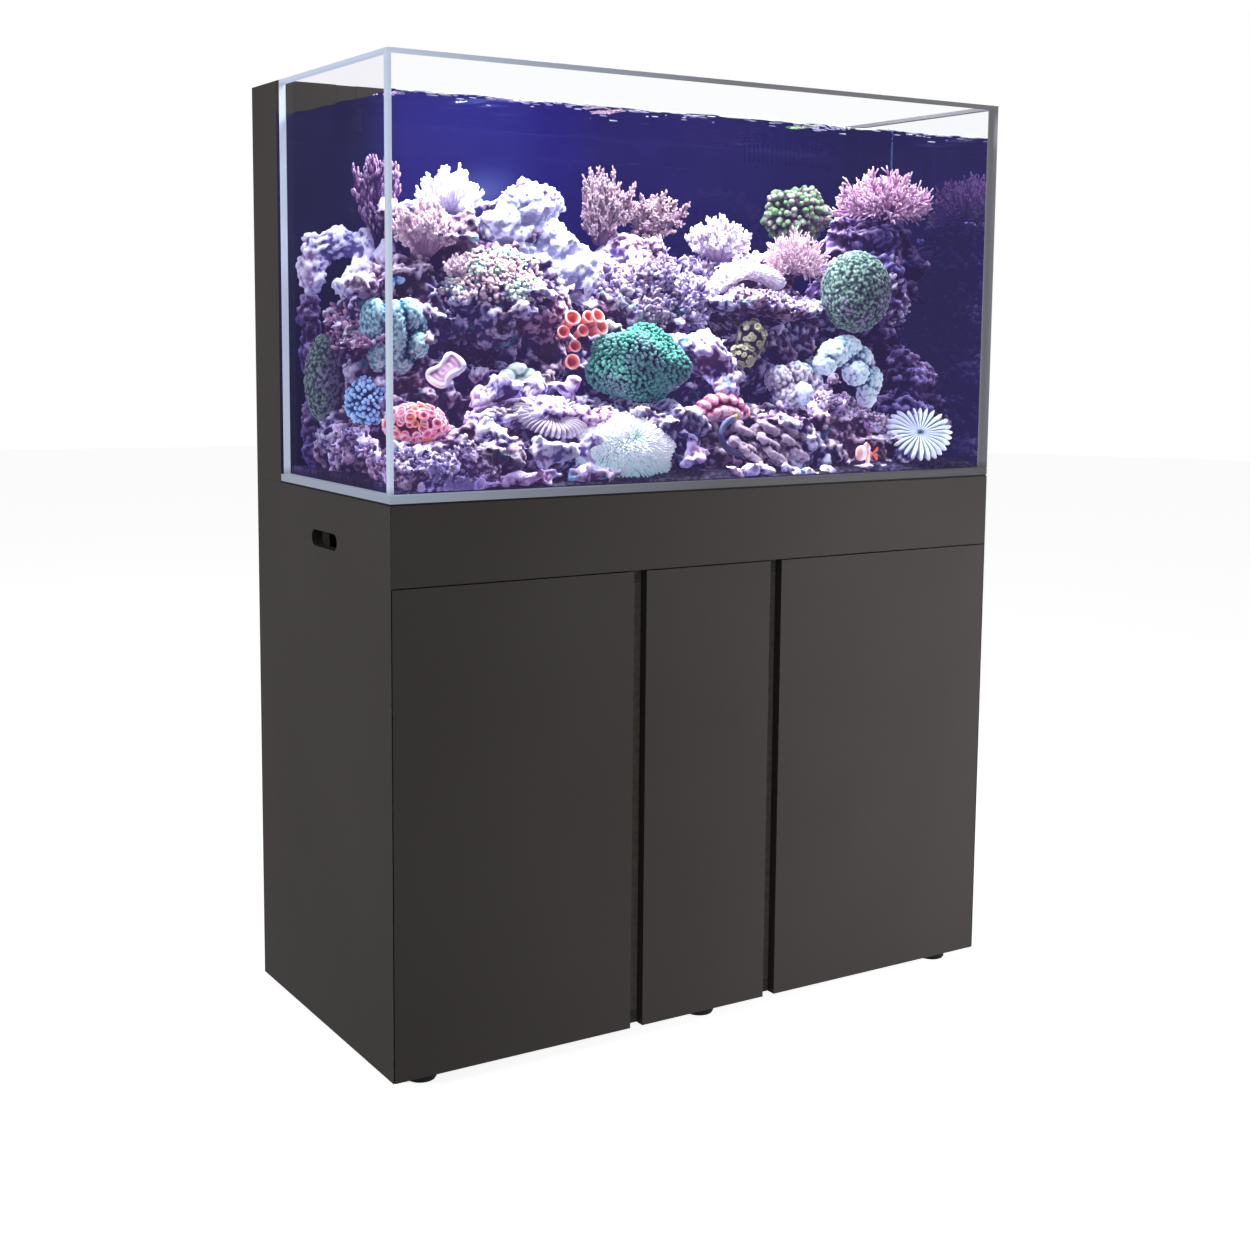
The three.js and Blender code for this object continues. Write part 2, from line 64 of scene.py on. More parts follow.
# ---------- places taken from the frame ----------
FRONT_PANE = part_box("tank_front")
BACK_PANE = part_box("tank_back")
LEFT_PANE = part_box("tank_left")
RIGHT_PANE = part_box("tank_right")
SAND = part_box("sand_bed")
FREEBOARD = 58 * MM
WATER_TOP = FRONT_PANE[1].z - FREEBOARD
WATER_LOW = Vector((LEFT_PANE[1].x, FRONT_PANE[1].y, SAND[1].z))
WATER_HIGH = Vector((RIGHT_PANE[0].x, BACK_PANE[0].y, WATER_TOP))


def spot(across, back, up):
    """A place in the water: 0 to 1 from the left pane, from the front pane and from the sand."""
    span = WATER_HIGH - WATER_LOW
    return np.array([
        WATER_LOW.x + across * span.x,
        WATER_LOW.y + back * span.y,
        WATER_LOW.z + up * span.z,
    ])


def lumps_at(*rows):
    """Ellipsoids (centre, half sizes), from rows of a place in the water and three half sizes.

    A seventh number brings the lump that much nearer to the camera.
    """
    return [(nearer(spot(*row[:3]), row[6]) if row[6:] else spot(*row[:3]), row[3:6]) for row in rows]


def center_and_half(node):
    """The middle and the half sizes of a node's box."""
    low, high = (np.array(corner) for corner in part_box(node))
    return (low + high) / 2, (high - low) / 2


def nearer(place, distance):
    """The place brought towards the camera: it looks the same there, and stands out of the rock."""
    toward = np.array(CAMERA_PLACE) - place
    return place + toward / np.linalg.norm(toward) * distance


# ---------- shader helpers ----------
class Shader:
    """One material, and short ways to add and join its nodes."""

    def __init__(self, name):
        self.material = bpy.data.materials.new(name)
        self.material.use_nodes = True
        self.tree = self.material.node_tree
        self.tree.nodes.clear()
        self.output = self.tree.nodes.new("ShaderNodeOutputMaterial")

    def add(self, kind, inputs=None, **settings):
        node = self.tree.nodes.new("ShaderNode" + kind)
        for key, value in settings.items():
            setattr(node, key, value)
        for key, value in (inputs or {}).items():
            self.set(node, key, value)
        return node

    def set(self, node, key, value):
        socket = node.inputs[key]
        if isinstance(value, bpy.types.NodeSocket):
            self.tree.links.new(value, socket)
        else:
            socket.default_value = value

    def place(self):
        return self.add("TexCoord").outputs["Object"]

    def axis(self, name, vector=None):
        return self.add("SeparateXYZ", {"Vector": vector or self.place()}).outputs[name]

    def tip(self):
        return self.add("Attribute", attribute_name="tip").outputs["Fac"]

    def noise(self, scale, detail=4.0, roughness=0.5, vector=None):
        inputs = {"Vector": vector or self.place(), "Scale": scale, "Detail": detail, "Roughness": roughness}
        return self.add("TexNoise", inputs).outputs["Fac"]

    def cells(self, scale, feature="F1", vector=None):
        inputs = {"Vector": vector or self.place(), "Scale": scale}
        return self.add("TexVoronoi", inputs, feature=feature).outputs["Distance"]

    def math(self, operation, a, b=0.0, clamp=False):
        return self.add("Math", {0: a, 1: b}, operation=operation, use_clamp=clamp).outputs[0]

    def scaled(self, value, factor, offset, clamp=True):
        """The value times a factor, plus an offset."""
        inputs = {0: value, 1: factor, 2: offset}
        return self.add("Math", inputs, operation="MULTIPLY_ADD", use_clamp=clamp).outputs[0]

    def ramp(self, factor, stops):
        """Colours along a factor; each stop is (position, red, green, blue)."""
        node = self.add("ValToRGB", {"Fac": factor})
        elements = node.color_ramp.elements
        while len(elements) < len(stops):
            elements.new(0.5)
        for element, (position, *color) in zip(elements, stops):
            element.position = position
            element.color = (*color, 1.0)
        return node.outputs["Color"]

    def mix(self, factor, a, b, blend="MIX"):
        node = self.add("Mix", data_type="RGBA", blend_type=blend)
        self.set(node, 0, factor)
        for index, value in ((6, a), (7, b)):
            self.set(node, index, value if isinstance(value, bpy.types.NodeSocket) else (*value, 1.0))
        return node.outputs[2]

    def darker(self, color, factor):
        return self.mix(1.0, color, (factor,) * 3, "MULTIPLY")

    def shifted(self, a, b, c):
        """The sum of three values, kept from 0 to 1."""
        return self.math("ADD", self.math("ADD", a, b), c, True)

    def span(self, value, low, high):
        return self.add("MapRange", {"Value": value, "From Min": low, "From Max": high}).outputs[0]

    def moved(self, distance):
        """The place, shifted, so that a second noise doesn't follow the first."""
        return self.add("VectorMath", {0: self.place(), 1: (distance,) * 3}, operation="ADD").outputs[0]

    def bump(self, height, strength, distance):
        inputs = {"Height": height, "Strength": strength, "Distance": distance}
        return self.add("Bump", inputs).outputs["Normal"]

    def see_through(self, color, gloss_color, roughness):
        """A transparent and a glossy shader, to be mixed."""
        through = self.add("BsdfTransparent", {"Color": (*color, 1.0)})
        gloss = self.add("BsdfGlossy", {"Color": (*gloss_color, 1.0), "Roughness": roughness})
        return through.outputs[0], gloss.outputs[0]

    def blended(self, factor, first, second):
        return self.finish(self.add("MixShader", {0: factor, 1: first, 2: second}).outputs[0])

    def finish(self, shader):
        self.tree.links.new(shader, self.output.inputs["Surface"])
        return self.material


def principled(shader, color, roughness, normal=None, metallic=0.0, emission=None, glow=0.0, **inputs):
    node = shader.add("BsdfPrincipled", {"Roughness": roughness, "Metallic": metallic})
    shader.set(node, "Base Color", color if isinstance(color, bpy.types.NodeSocket) else (*color, 1.0))
    if normal is not None:
        shader.set(node, "Normal", normal)
    if emission is not None:
        flat = not isinstance(emission, bpy.types.NodeSocket)
        shader.set(node, "Emission Color", (*emission, 1.0) if flat else emission)
        shader.set(node, "Emission Strength", glow)
    for key, value in inputs.items():
        shader.set(node, key.replace("_", " "), value)
    return shader.finish(node.outputs[0])


# ---------- cabinet, plastic and metal materials ----------
def two_tone(name, cloud, stops, roughness, bump, grain=None, glow=None, **inputs):
    """A surface that wavers between two tones.

    Cloud and grain are noises, each (scale, detail, roughness); bump is (strength, distance) and follows
    the grain, or else the cloud. The faint glow stands for light that reaches the inside of the cabinet.
    """
    s = Shader(name)
    tone = s.noise(*cloud)
    color = s.ramp(tone, stops)
    relief = s.noise(*grain) if grain else tone
    if glow is not None:
        inputs.update(emission=color, glow=glow)
    return principled(s, color, roughness, s.bump(relief, *bump), **inputs)


def board_material(name, scale, dark, light, glow):
    return two_tone(name, (scale, 6, 0.7), [(0.35, *dark), (0.7, *light)], 0.6, (0.3, 0.0008), glow=glow)


def plastic_material(name, dark, light, roughness, glow=0.0):
    stops = [(0.35, *dark), (0.65, *light)]
    return two_tone(name, (25, 2), stops, roughness, (0.12, 0.0004), (700, 3), glow)


def foam_material():
    s = Shader("foam_rubber")
    pores = s.cells(900)
    color = s.ramp(pores, [(0.0, 0.006, 0.006, 0.006), (0.5, 0.03, 0.03, 0.032)])
    return principled(s, color, 0.9, s.bump(pores, 0.5, 0.0006))


# ---------- glass and water materials ----------
def clear_material(name, tint, head_on, roughness=0.0, grazing=0.45):
    """Thin clear sheet: what is behind shows through, and the reflection grows towards grazing view."""
    s = Shader(name)
    through, gloss = s.see_through(tint, (1, 1, 1), roughness)
    facing = s.add("LayerWeight", {"Blend": 0.5}).outputs["Facing"]
    share = s.scaled(s.math("POWER", facing, 5.0), grazing, head_on, False)
    return s.blended(share, through, gloss)


def glass_edge_material():
    """Polished edges: painted light, pale blue at the left, grey at the right; painted shade at the bottom
    pane.
    """
    s = Shader("glass_edge")
    # Painted light along X: pale blue at the left end, grey towards the right.
    color = s.ramp(s.scaled(s.axis("X"), 0.8, 0.5), [
        (0.0, 0.54, 0.62, 0.77), (0.22, 0.36, 0.39, 0.48), (0.5, 0.195, 0.195, 0.215),
        (1.0, 0.165, 0.165, 0.18),
    ])
    # Painted shade: darker round the bottom pane.
    color = s.mix(s.span(s.axis("Z"), SAND[0].z, SAND[1].z), s.darker(color, 0.56), color)
    # The edges glow with this colour: painted light.
    return principled(s, s.darker(color, 0.3), 0.25, emission=color, glow=0.8, Specular_IOR_Level=0.2)


def water_material(name, mirrored, outside, haze=(0, 0, 0)):
    """Water seen from inside mirrors past the critical angle; a painted glow for its blue haze lies over the
    mirror.
    """
    s = Shader(name)
    through, gloss = s.see_through((0.93, 0.94, 1.0), mirrored, 0.02)
    # Painted light: the haze is a glow, for light scattered in the water.
    glow = s.add("Emission", {"Color": (*haze, 1.0), "Strength": 1.0}).outputs[0]
    hazy = s.add("AddShader", {0: gloss, 1: glow}).outputs[0]
    fresnel = s.add("Fresnel", {"IOR": 1.5}).outputs[0]
    inside = s.add("NewGeometry").outputs["Backfacing"]
    share = s.scaled(inside, 1.0 - outside, outside)
    return s.blended(s.math("MULTIPLY", fresnel, share), through, hazy)


def blue_back_material():
    """The back wall under water.

    A painted band of light lies behind the white coral, painted shade at the left end, dull above the water.
    """
    s = Shader("blue_back_glass")
    height = s.axis("Z")
    # Painted light: brightest in a band behind the white coral, darkest at the left end.
    color = s.ramp(s.scaled(s.axis("X"), 0.83, 0.5), [
        (0.0, 0.026, 0.023, 0.066), (0.13, 0.028, 0.025, 0.080), (0.19, 0.039, 0.032, 0.19),
        (0.36, 0.035, 0.032, 0.195), (0.43, 0.028, 0.022, 0.165), (0.52, 0.026, 0.021, 0.112),
        (1.0, 0.031, 0.026, 0.106),
    ])
    # Painted shade: darker towards the sand.
    depth = s.add("MapRange", {
        "Value": height, "From Min": SAND[1].z, "From Max": WATER_TOP, "To Min": 0.25, "To Max": 1.0,
    }).outputs[0]
    shade = s.mix(depth, (0.012, 0.008, 0.03), color)
    # A painted pool of light behind the white coral.
    halo = s.add("Mapping", {
        "Vector": s.place(), "Location": (1.65, 0.0, -22.5), "Scale": (7.5, 0.0, 15.8),
    }).outputs[0]
    falloff = s.add("TexGradient", {"Vector": halo}, gradient_type="QUADRATIC_SPHERE").outputs["Fac"]
    shade = s.mix(1.0, shade, s.mix(falloff, (0, 0, 0), (0.07, 0.09, 0.17)), "ADD")
    dry = s.span(height, WATER_TOP + 0.005, WATER_TOP + 0.006)
    shade = s.mix(dry, shade, (0.045, 0.040, 0.037))
    # The wall glows with this colour: painted light.
    return principled(s, s.darker(shade, 0.15), 0.6, emission=shade, glow=1.0, Specular_IOR_Level=0.0)


# ---------- reef materials ----------
# The painted glow that every reef material adds, as veiled() mixes it.
HAZE = (0.13, 0.115, 0.20)
VEIL = (0.024, 0.017, 0.052)


def veiled(shader, color, glow):
    """A painted glow for light the water scatters into shadows: violet, and a little of the surface's own
    colour.
    """
    own = shader.mix(1.0, color, tuple(share * glow for share in HAZE), "MULTIPLY")
    return shader.mix(1.0, own, VEIL, "ADD")


def reef_material(name, stops, speckle=90.0, strength=0.45, patches=None, glow=0.5, roughness=0.75):
    """Colours run from crevices, partly painted shade, to tips; noise breaks them up; the glow is painted
    light.
    """
    s = Shader(name)
    grain = s.noise(speckle, 5, 0.6)
    level = s.shifted(s.math("MULTIPLY", grain, strength), s.tip(), -0.5 * strength)
    color = s.ramp(level, stops)
    if patches:
        scale, low, high, patch_stops = patches
        mask = s.span(s.noise(scale, 3, 0.55), low, high)
        color = s.mix(mask, color, s.ramp(level, patch_stops))
    normal = s.bump(s.noise(speckle * 3.5, 4, 0.6), 0.5, 0.0015)
    return principled(s, color, roughness, normal, emission=veiled(s, color, glow), glow=1.0,
                      Specular_IOR_Level=0.3)


def rock_material(name, stops, second, third, accent, glow=0.5):
    """Live rock: painted light above, painted shade in its pits, patches of other growth and specks of an
    accent.
    """
    s = Shader(name)
    # Painted light: faces that look up are paler.
    upward = s.axis("Z", s.add("NewGeometry").outputs["Normal"])
    lit = s.math("MULTIPLY", s.span(upward, -0.4, 0.9), 0.34)
    # Painted shade: low tip values, in pits and hollows, are darker.
    level = s.shifted(s.math("MULTIPLY", s.tip(), 0.60), lit, -0.30)
    level = s.math("ADD", level, s.math("MULTIPLY", s.noise(34, 5, 0.6), 0.30))
    level = s.math("ADD", level, s.math("MULTIPLY", s.noise(170, 4, 0.6), 0.26), True)
    color = s.ramp(level, stops)
    color = s.mix(s.span(s.noise(8, 4, 0.6), 0.46, 0.56), color, s.ramp(level, second))
    color = s.mix(s.span(s.noise(13, 4, 0.6, s.moved(3.0)), 0.54, 0.62), color, s.ramp(level, third))
    color = s.mix(s.span(s.noise(30, 3, 0.6, s.moved(7.0)), 0.63, 0.70), color, s.ramp(level, accent))
    normal = s.bump(s.noise(420, 4, 0.65), 0.6, 0.0016)
    return principled(s, color, 0.85, normal, emission=veiled(s, color, glow), glow=1.0,
                      Specular_IOR_Level=0.25)


WHITE = (0.95, 0.95, 1.0)


def rock_palette():
    lilac = [(0.0, 0.006, 0.003, 0.02), (0.34, 0.045, 0.028, 0.11), (0.54, 0.31, 0.26, 0.42),
             (0.70, 0.76, 0.73, 0.84), (0.86, *WHITE)]
    rose = [(0.0, 0.010, 0.003, 0.012), (0.38, 0.075, 0.030, 0.07), (0.6, 0.36, 0.21, 0.32),
            (0.84, 0.92, 0.78, 0.86)]
    brown = [(0.0, 0.006, 0.003, 0.006), (0.42, 0.065, 0.034, 0.045), (0.66, 0.30, 0.20, 0.23),
             (0.9, 0.86, 0.78, 0.80)]
    teal = [(0.0, 0.004, 0.02, 0.04), (0.5, 0.06, 0.26, 0.32), (0.85, 0.45, 0.78, 0.78)]
    snow = [(0.0, 0.012, 0.007, 0.05), (0.3, 0.13, 0.11, 0.30), (0.48, 0.48, 0.48, 0.68), (0.68, *WHITE)]
    blush = [(0.0, 0.04, 0.015, 0.07), (0.33, 0.36, 0.25, 0.42), (0.55, 0.86, 0.74, 0.82), (0.75, *WHITE)]
    chalk = [(0.0, 0.04, 0.035, 0.11), (0.26, 0.24, 0.25, 0.36), (0.44, 0.48, 0.50, 0.60),
             (0.62, 0.72, 0.74, 0.80), (0.85, *WHITE)]
    plum = [(0.0, 0.004, 0.002, 0.010), (0.38, 0.030, 0.015, 0.05), (0.62, 0.14, 0.08, 0.21),
            (0.9, 0.56, 0.44, 0.68)]
    dusk = [(0.0, 0.004, 0.002, 0.014), (0.42, 0.025, 0.016, 0.08), (0.7, 0.12, 0.09, 0.28),
            (0.95, 0.46, 0.40, 0.68)]
    return {
        "rock": rock_material("live_rock", lilac, rose, brown, teal),
        "pale_rock": rock_material("pale_rock", snow, blush, snow, blush, 0.8),
        "dark_rock": rock_material("dark_rock", plum, dusk, plum, rose),
        # This chalk rock glows more: partly its own pale colour, partly painted light.
        "bright_rock": rock_material("bright_rock", chalk, chalk, blush, snow, 1.5),
        # A copy of the live rock with six times its glow: painted light.
        "live_rock_lit_copy": rock_material("live_rock_lit_copy", lilac, rose, brown, teal, 3.0),
    }


def reef_palette():
    return rock_palette() | {
        "sand": reef_material("reef_sand", [
            (0.0, 0.006, 0.005, 0.006), (0.5, 0.020, 0.016, 0.02), (1.0, 0.10, 0.085, 0.12),
        ], 240, 0.8, (5, 0.52, 0.66,
                      [(0.0, 0.01, 0.008, 0.03), (0.5, 0.05, 0.045, 0.11), (1.0, 0.22, 0.20, 0.34)])),
        "white": reef_material("white_coral",
                               [(0.0, 0.28, 0.24, 0.44), (0.35, 0.80, 0.79, 0.86), (1.0, 1, 1, 1)], glow=0.9),
        "peach": reef_material("peach_coral", [
            (0.0, 0.22, 0.11, 0.19), (0.4, 0.52, 0.32, 0.37), (0.75, 0.68, 0.48, 0.47),
            (1.0, 0.74, 0.62, 0.60),
        ], glow=0.9),
        "purple": reef_material("purple_coral", [
            (0.0, 0.02, 0.008, 0.06), (0.5, 0.10, 0.035, 0.13), (0.85, 0.28, 0.13, 0.24),
            (1.0, 0.48, 0.32, 0.44),
        ]),
        "tan": reef_material("tan_coral", [
            (0.0, 0.05, 0.02, 0.06), (0.45, 0.20, 0.115, 0.13), (0.8, 0.33, 0.215, 0.22),
            (1.0, 0.43, 0.33, 0.33),
        ], glow=0.7),
        "pink": reef_material("pink_coral", [
            (0.0, 0.06, 0.02, 0.08), (0.4, 0.33, 0.15, 0.24), (0.75, 0.56, 0.33, 0.42),
            (1.0, 0.72, 0.53, 0.60),
        ], glow=0.8),
        "cream": reef_material("cream_coral", [
            (0.0, 0.16, 0.09, 0.20), (0.4, 0.50, 0.40, 0.47), (0.75, 0.68, 0.61, 0.60),
            (1.0, 0.82, 0.79, 0.74),
        ], glow=0.8),
        "lilac": reef_material("lilac_coral", [
            (0.0, 0.008, 0.004, 0.03), (0.35, 0.10, 0.065, 0.16), (0.65, 0.34, 0.27, 0.40),
            (0.95, 0.76, 0.70, 0.80),
        ], 40, 0.5, (9, 0.47, 0.58, [
            (0.0, 0.010, 0.003, 0.015), (0.35, 0.13, 0.06, 0.10), (0.65, 0.42, 0.28, 0.35),
            (0.95, 0.80, 0.70, 0.76),
        ])),
        "green": reef_material("green_coral", [
            (0.0, 0.004, 0.020, 0.020), (0.45, 0.010, 0.085, 0.060), (0.8, 0.035, 0.24, 0.15),
            (1.0, 0.14, 0.46, 0.30),
        ], 50, 0.5, (14, 0.52, 0.66, [
            (0.0, 0.010, 0.016, 0.03), (0.5, 0.05, 0.10, 0.10), (1.0, 0.20, 0.38, 0.32),
        ]), glow=1.2),
        "moss": reef_material("moss_coral", [
            (0.0, 0.008, 0.012, 0.016), (0.4, 0.030, 0.055, 0.042), (0.75, 0.080, 0.16, 0.10),
            (1.0, 0.27, 0.38, 0.27),
        ], 60, 0.6, (16, 0.5, 0.62, [
            (0.0, 0.012, 0.009, 0.02), (0.5, 0.06, 0.06, 0.075), (1.0, 0.32, 0.33, 0.34),
        ]), glow=0.9),
        "olive": reef_material("olive_polyps", [
            (0.0, 0.03, 0.022, 0.028), (0.4, 0.09, 0.065, 0.06), (0.68, 0.055, 0.13, 0.05),
            (1.0, 0.13, 0.25, 0.08),
        ], 30, 0.5, (30, 0.46, 0.58, [
            (0.0, 0.04, 0.015, 0.03), (0.5, 0.20, 0.10, 0.12), (0.8, 0.10, 0.17, 0.09),
            (1.0, 0.30, 0.28, 0.22),
        ]), glow=0.9),
        # These polyps sit in a cave: their stronger glow is painted light.
        "shaded": reef_material("shaded_polyps", [
            (0.0, 0.02, 0.010, 0.016), (0.42, 0.17, 0.075, 0.065), (0.7, 0.17, 0.17, 0.075),
            (0.95, 0.34, 0.34, 0.18),
        ], 60, 0.4, glow=2.0),
        "crust": reef_material("polyp_crust", [
            (0.0, 0.06, 0.015, 0.05), (0.4, 0.42, 0.20, 0.26), (0.8, 0.80, 0.52, 0.50),
            (1.0, 0.95, 0.80, 0.74),
        ], 30, 0.5, (19, 0.47, 0.58, [
            (0.0, 0.01, 0.03, 0.02), (0.45, 0.14, 0.26, 0.15), (0.8, 0.46, 0.62, 0.42), (1.0, 0.8, 0.9, 0.76),
        ])),
        "blue": reef_material("blue_coral", [
            (0.0, 0.008, 0.035, 0.09), (0.4, 0.06, 0.20, 0.34), (0.75, 0.24, 0.54, 0.70),
            (1.0, 0.62, 0.90, 0.98),
        ], glow=1.8),
        "brain": reef_material("brain_coral", [
            (0.0, 0.004, 0.016, 0.05), (0.4, 0.03, 0.13, 0.19), (0.7, 0.15, 0.38, 0.40),
            (1.0, 0.56, 0.80, 0.74),
        ], 60, 0.5),
        "orange": reef_material("orange_coral", [
            (0.0, 0.24, 0.016, 0.02), (0.4, 0.70, 0.12, 0.08), (0.75, 0.95, 0.30, 0.20),
            (1.0, 1.0, 0.62, 0.50),
        ], glow=1.0),
        "buttons": reef_material("button_polyps", [
            (0.0, 0.12, 0.006, 0.03), (0.3, 0.66, 0.07, 0.14), (0.6, 0.95, 0.24, 0.28),
            (0.8, 1.0, 0.50, 0.50), (1.0, 1.0, 0.78, 0.74),
        ], 60, 0.5, (24, 0.54, 0.62, [
            (0.0, 0.16, 0.01, 0.01), (0.4, 0.85, 0.14, 0.04), (0.8, 1.0, 0.36, 0.07), (1.0, 1.0, 0.6, 0.25),
        ]), glow=1.5),
        "mint": reef_material("mint_coral", [
            (0.0, 0.03, 0.22, 0.20), (0.25, 0.30, 0.58, 0.46), (0.5, 0.68, 0.90, 0.70),
            (0.9, 0.98, 1.0, 0.84),
        ], 60, 0.35, glow=1.6),
        "frost": reef_material("frosted_coral", [
            (0.0, 0.03, 0.05, 0.09), (0.32, 0.22, 0.38, 0.40), (0.62, 0.50, 0.76, 0.68),
            (0.95, 0.86, 1.0, 0.90),
        ], 60, 0.5, (18, 0.54, 0.64, [
            (0.0, 0.03, 0.02, 0.06), (0.4, 0.30, 0.27, 0.34), (0.8, 0.76, 0.80, 0.82),
        ]), glow=1.7),
        "mauve": reef_material("mauve_mantle", [
            (0.0, 0.008, 0.003, 0.006), (0.32, 0.075, 0.042, 0.048), (0.62, 0.24, 0.165, 0.185),
            (1.0, 0.48, 0.38, 0.43),
        ], 110, 0.4, glow=0.8),
        "petal": reef_material("pale_petals", [
            (0.0, 0.05, 0.14, 0.16), (0.35, 0.40, 0.58, 0.54), (0.7, 0.88, 0.95, 0.90), (1.0, 1, 1, 1),
        ], 60, 0.3, glow=2.0),
        "rose": reef_material("rose_coral", [
            (0.0, 0.10, 0.008, 0.04), (0.45, 0.48, 0.06, 0.13), (0.8, 0.82, 0.26, 0.32),
            (1.0, 0.95, 0.62, 0.68),
        ]),
        "shell_pink": reef_material("shell_pink", [
            (0.0, 0.06, 0.03, 0.06), (0.4, 0.26, 0.19, 0.24), (0.65, 0.48, 0.40, 0.46),
            (0.95, 0.78, 0.76, 0.80),
        ], 45, 0.5, (16, 0.5, 0.6, [
            (0.0, 0.01, 0.03, 0.04), (0.5, 0.12, 0.28, 0.26), (1.0, 0.56, 0.76, 0.70),
        ])),
        "blossom": reef_material("pink_plate", [
            (0.0, 0.42, 0.18, 0.30), (0.42, 0.60, 0.38, 0.48), (0.62, 0.76, 0.58, 0.66),
            (0.9, 0.98, 0.92, 0.96),
        ], 30, 0.35, glow=0.9),
        "pistachio": reef_material("pistachio_coral", [
            (0.0, 0.06, 0.12, 0.09), (0.5, 0.30, 0.46, 0.30), (1.0, 0.70, 0.80, 0.64),
        ], 60, 0.5),
        "fish_blue": reef_material("blue_fish_skin", [
            (0.0, 0.03, 0.035, 0.08), (0.6, 0.10, 0.11, 0.22), (0.93, 0.20, 0.25, 0.38),
            (0.97, 0.8, 0.7, 0.05),
        ], 200, 0.05, roughness=0.4),
        "fish_orange": reef_material("orange_fish_skin", [
            (0.0, 0.95, 0.45, 0.30), (0.22, 0.95, 0.55, 0.42), (0.28, 1, 1, 1), (0.48, 1, 1, 1),
            (0.53, 1.0, 0.45, 0.25), (0.62, 1.0, 0.36, 0.12), (0.66, 1, 1, 1), (0.74, 1, 1, 1),
            (0.78, 1.0, 0.3, 0.05), (1.0, 0.95, 0.22, 0.02),
        ], 200, 0.02, glow=2.4, roughness=0.4),
    }


# ---------- mesh helpers ----------
def linked(name, data):
    """A new object in the scene."""
    item = bpy.data.objects.new(name, data)
    bpy.context.scene.collection.objects.link(item)
    return item


def from_bmesh(made, name):
    mesh = bpy.data.meshes.new(name)
    made.to_mesh(mesh)
    made.free()
    return mesh


def gathered(items, field, width, kind=np.float32):
    """One field of a mesh's vertices, edges or faces, a row for each."""
    values = np.empty(len(items) * width, kind)
    items.foreach_get(field, values)
    return values.reshape(-1, width)


def sampled(points, share, knots=None):
    """The places at each share of a bent line."""
    knots = np.linspace(0, 1, len(points)) if knots is None else knots
    return np.stack([np.interp(share, knots, points[:, k]) for k in range(3)], axis=1)


class Soup:
    """Collects vertices, faces and a crevice-to-tip value for each vertex, then makes one mesh of them."""

    def __init__(self):
        self.verts, self.faces, self.tips, self.count = [], [], [], 0

    def add(self, verts, faces, tips):
        self.verts.append(np.asarray(verts, float).reshape(-1, 3))
        for block in faces:
            self.faces.append(np.asarray(block, int) + self.count)
        self.tips.append(np.asarray(tips, float).reshape(-1))
        self.count += len(self.verts[-1])

    def add_slab(self, top, bottom, top_tips, bottom_tips):
        """A closed sheet: two grids of points, one over the other, joined all round."""
        rows, columns = top.shape[:2]
        count = rows * columns
        index = np.arange(count).reshape(rows, columns)
        quads = np.stack([index[:-1, :-1], index[1:, :-1], index[1:, 1:], index[:-1, 1:]], axis=-1)
        quads = quads.reshape(-1, 4)
        rim = np.concatenate([index[:-1, 0], index[-1, :-1], index[1:, -1][::-1], index[0, 1:][::-1]])
        walls = np.stack([rim, rim + count, np.roll(rim, -1) + count, np.roll(rim, -1)], axis=1)
        verts = np.concatenate([top.reshape(-1, 3), bottom.reshape(-1, 3)])
        self.add(verts, [quads, quads[:, ::-1] + count, walls], np.concatenate([top_tips, bottom_tips]))

    def add_balls(self, centers, sizes, tip):
        verts, faces = ball(2)
        for center, size in zip(centers, sizes):
            self.add(center + verts * size, [faces], np.full(len(verts), tip))

    def points(self):
        return np.concatenate(self.verts)

    def fit(self, low, high):
        """Stretches the whole soup so that it fills the box from low to high."""
        points = self.points()
        start, size = points.min(0), np.ptp(points, axis=0)
        low, high = np.asarray(low, float), np.asarray(high, float)
        self.verts = [low + (block - start) / size * (high - low) for block in self.verts]

    def mesh(self, name):
        points = self.points()
        sizes = np.concatenate([np.full(len(block), block.shape[1]) for block in self.faces])
        corners = np.concatenate([block.reshape(-1) for block in self.faces])
        mesh = bpy.data.meshes.new(name)
        mesh.vertices.add(len(points))
        mesh.vertices.foreach_set("co", points.reshape(-1).astype(np.float32))
        mesh.loops.add(len(corners))
        mesh.loops.foreach_set("vertex_index", corners.astype(np.int32))
        mesh.polygons.add(len(sizes))
        mesh.polygons.foreach_set("loop_start", (np.cumsum(sizes) - sizes).astype(np.int32))
        mesh.update(calc_edges=True)
        mesh.validate()
        mesh.polygons.foreach_set("use_smooth", np.ones(len(mesh.polygons), bool))
        layer = mesh.attributes.new("tip", "FLOAT", "POINT")
        layer.data.foreach_set("value", np.concatenate(self.tips).astype(np.float32))
        return mesh


def place_piece(name, mesh, material, stands_for=()):
    """Every piece made here is fixed, so it rides the root body."""
    piece = linked(name, mesh)
    if not mesh.materials:
        mesh.materials.append(material)
    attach(piece, ROOT)
    if stands_for:
        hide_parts(*stands_for)
    return piece


def unit(vectors):
    vectors = np.asarray(vectors, float)
    return vectors / np.maximum(np.linalg.norm(vectors, axis=-1, keepdims=True), 1e-12)


def frames(axes):
    """Two directions across each axis."""
    axes = unit(axes)
    helper = np.where(np.abs(axes[..., 2:3]) < 0.9, [0.0, 0.0, 1.0], [1.0, 0.0, 0.0])
    side = unit(np.cross(helper, axes))
    return side, np.cross(axes, side)


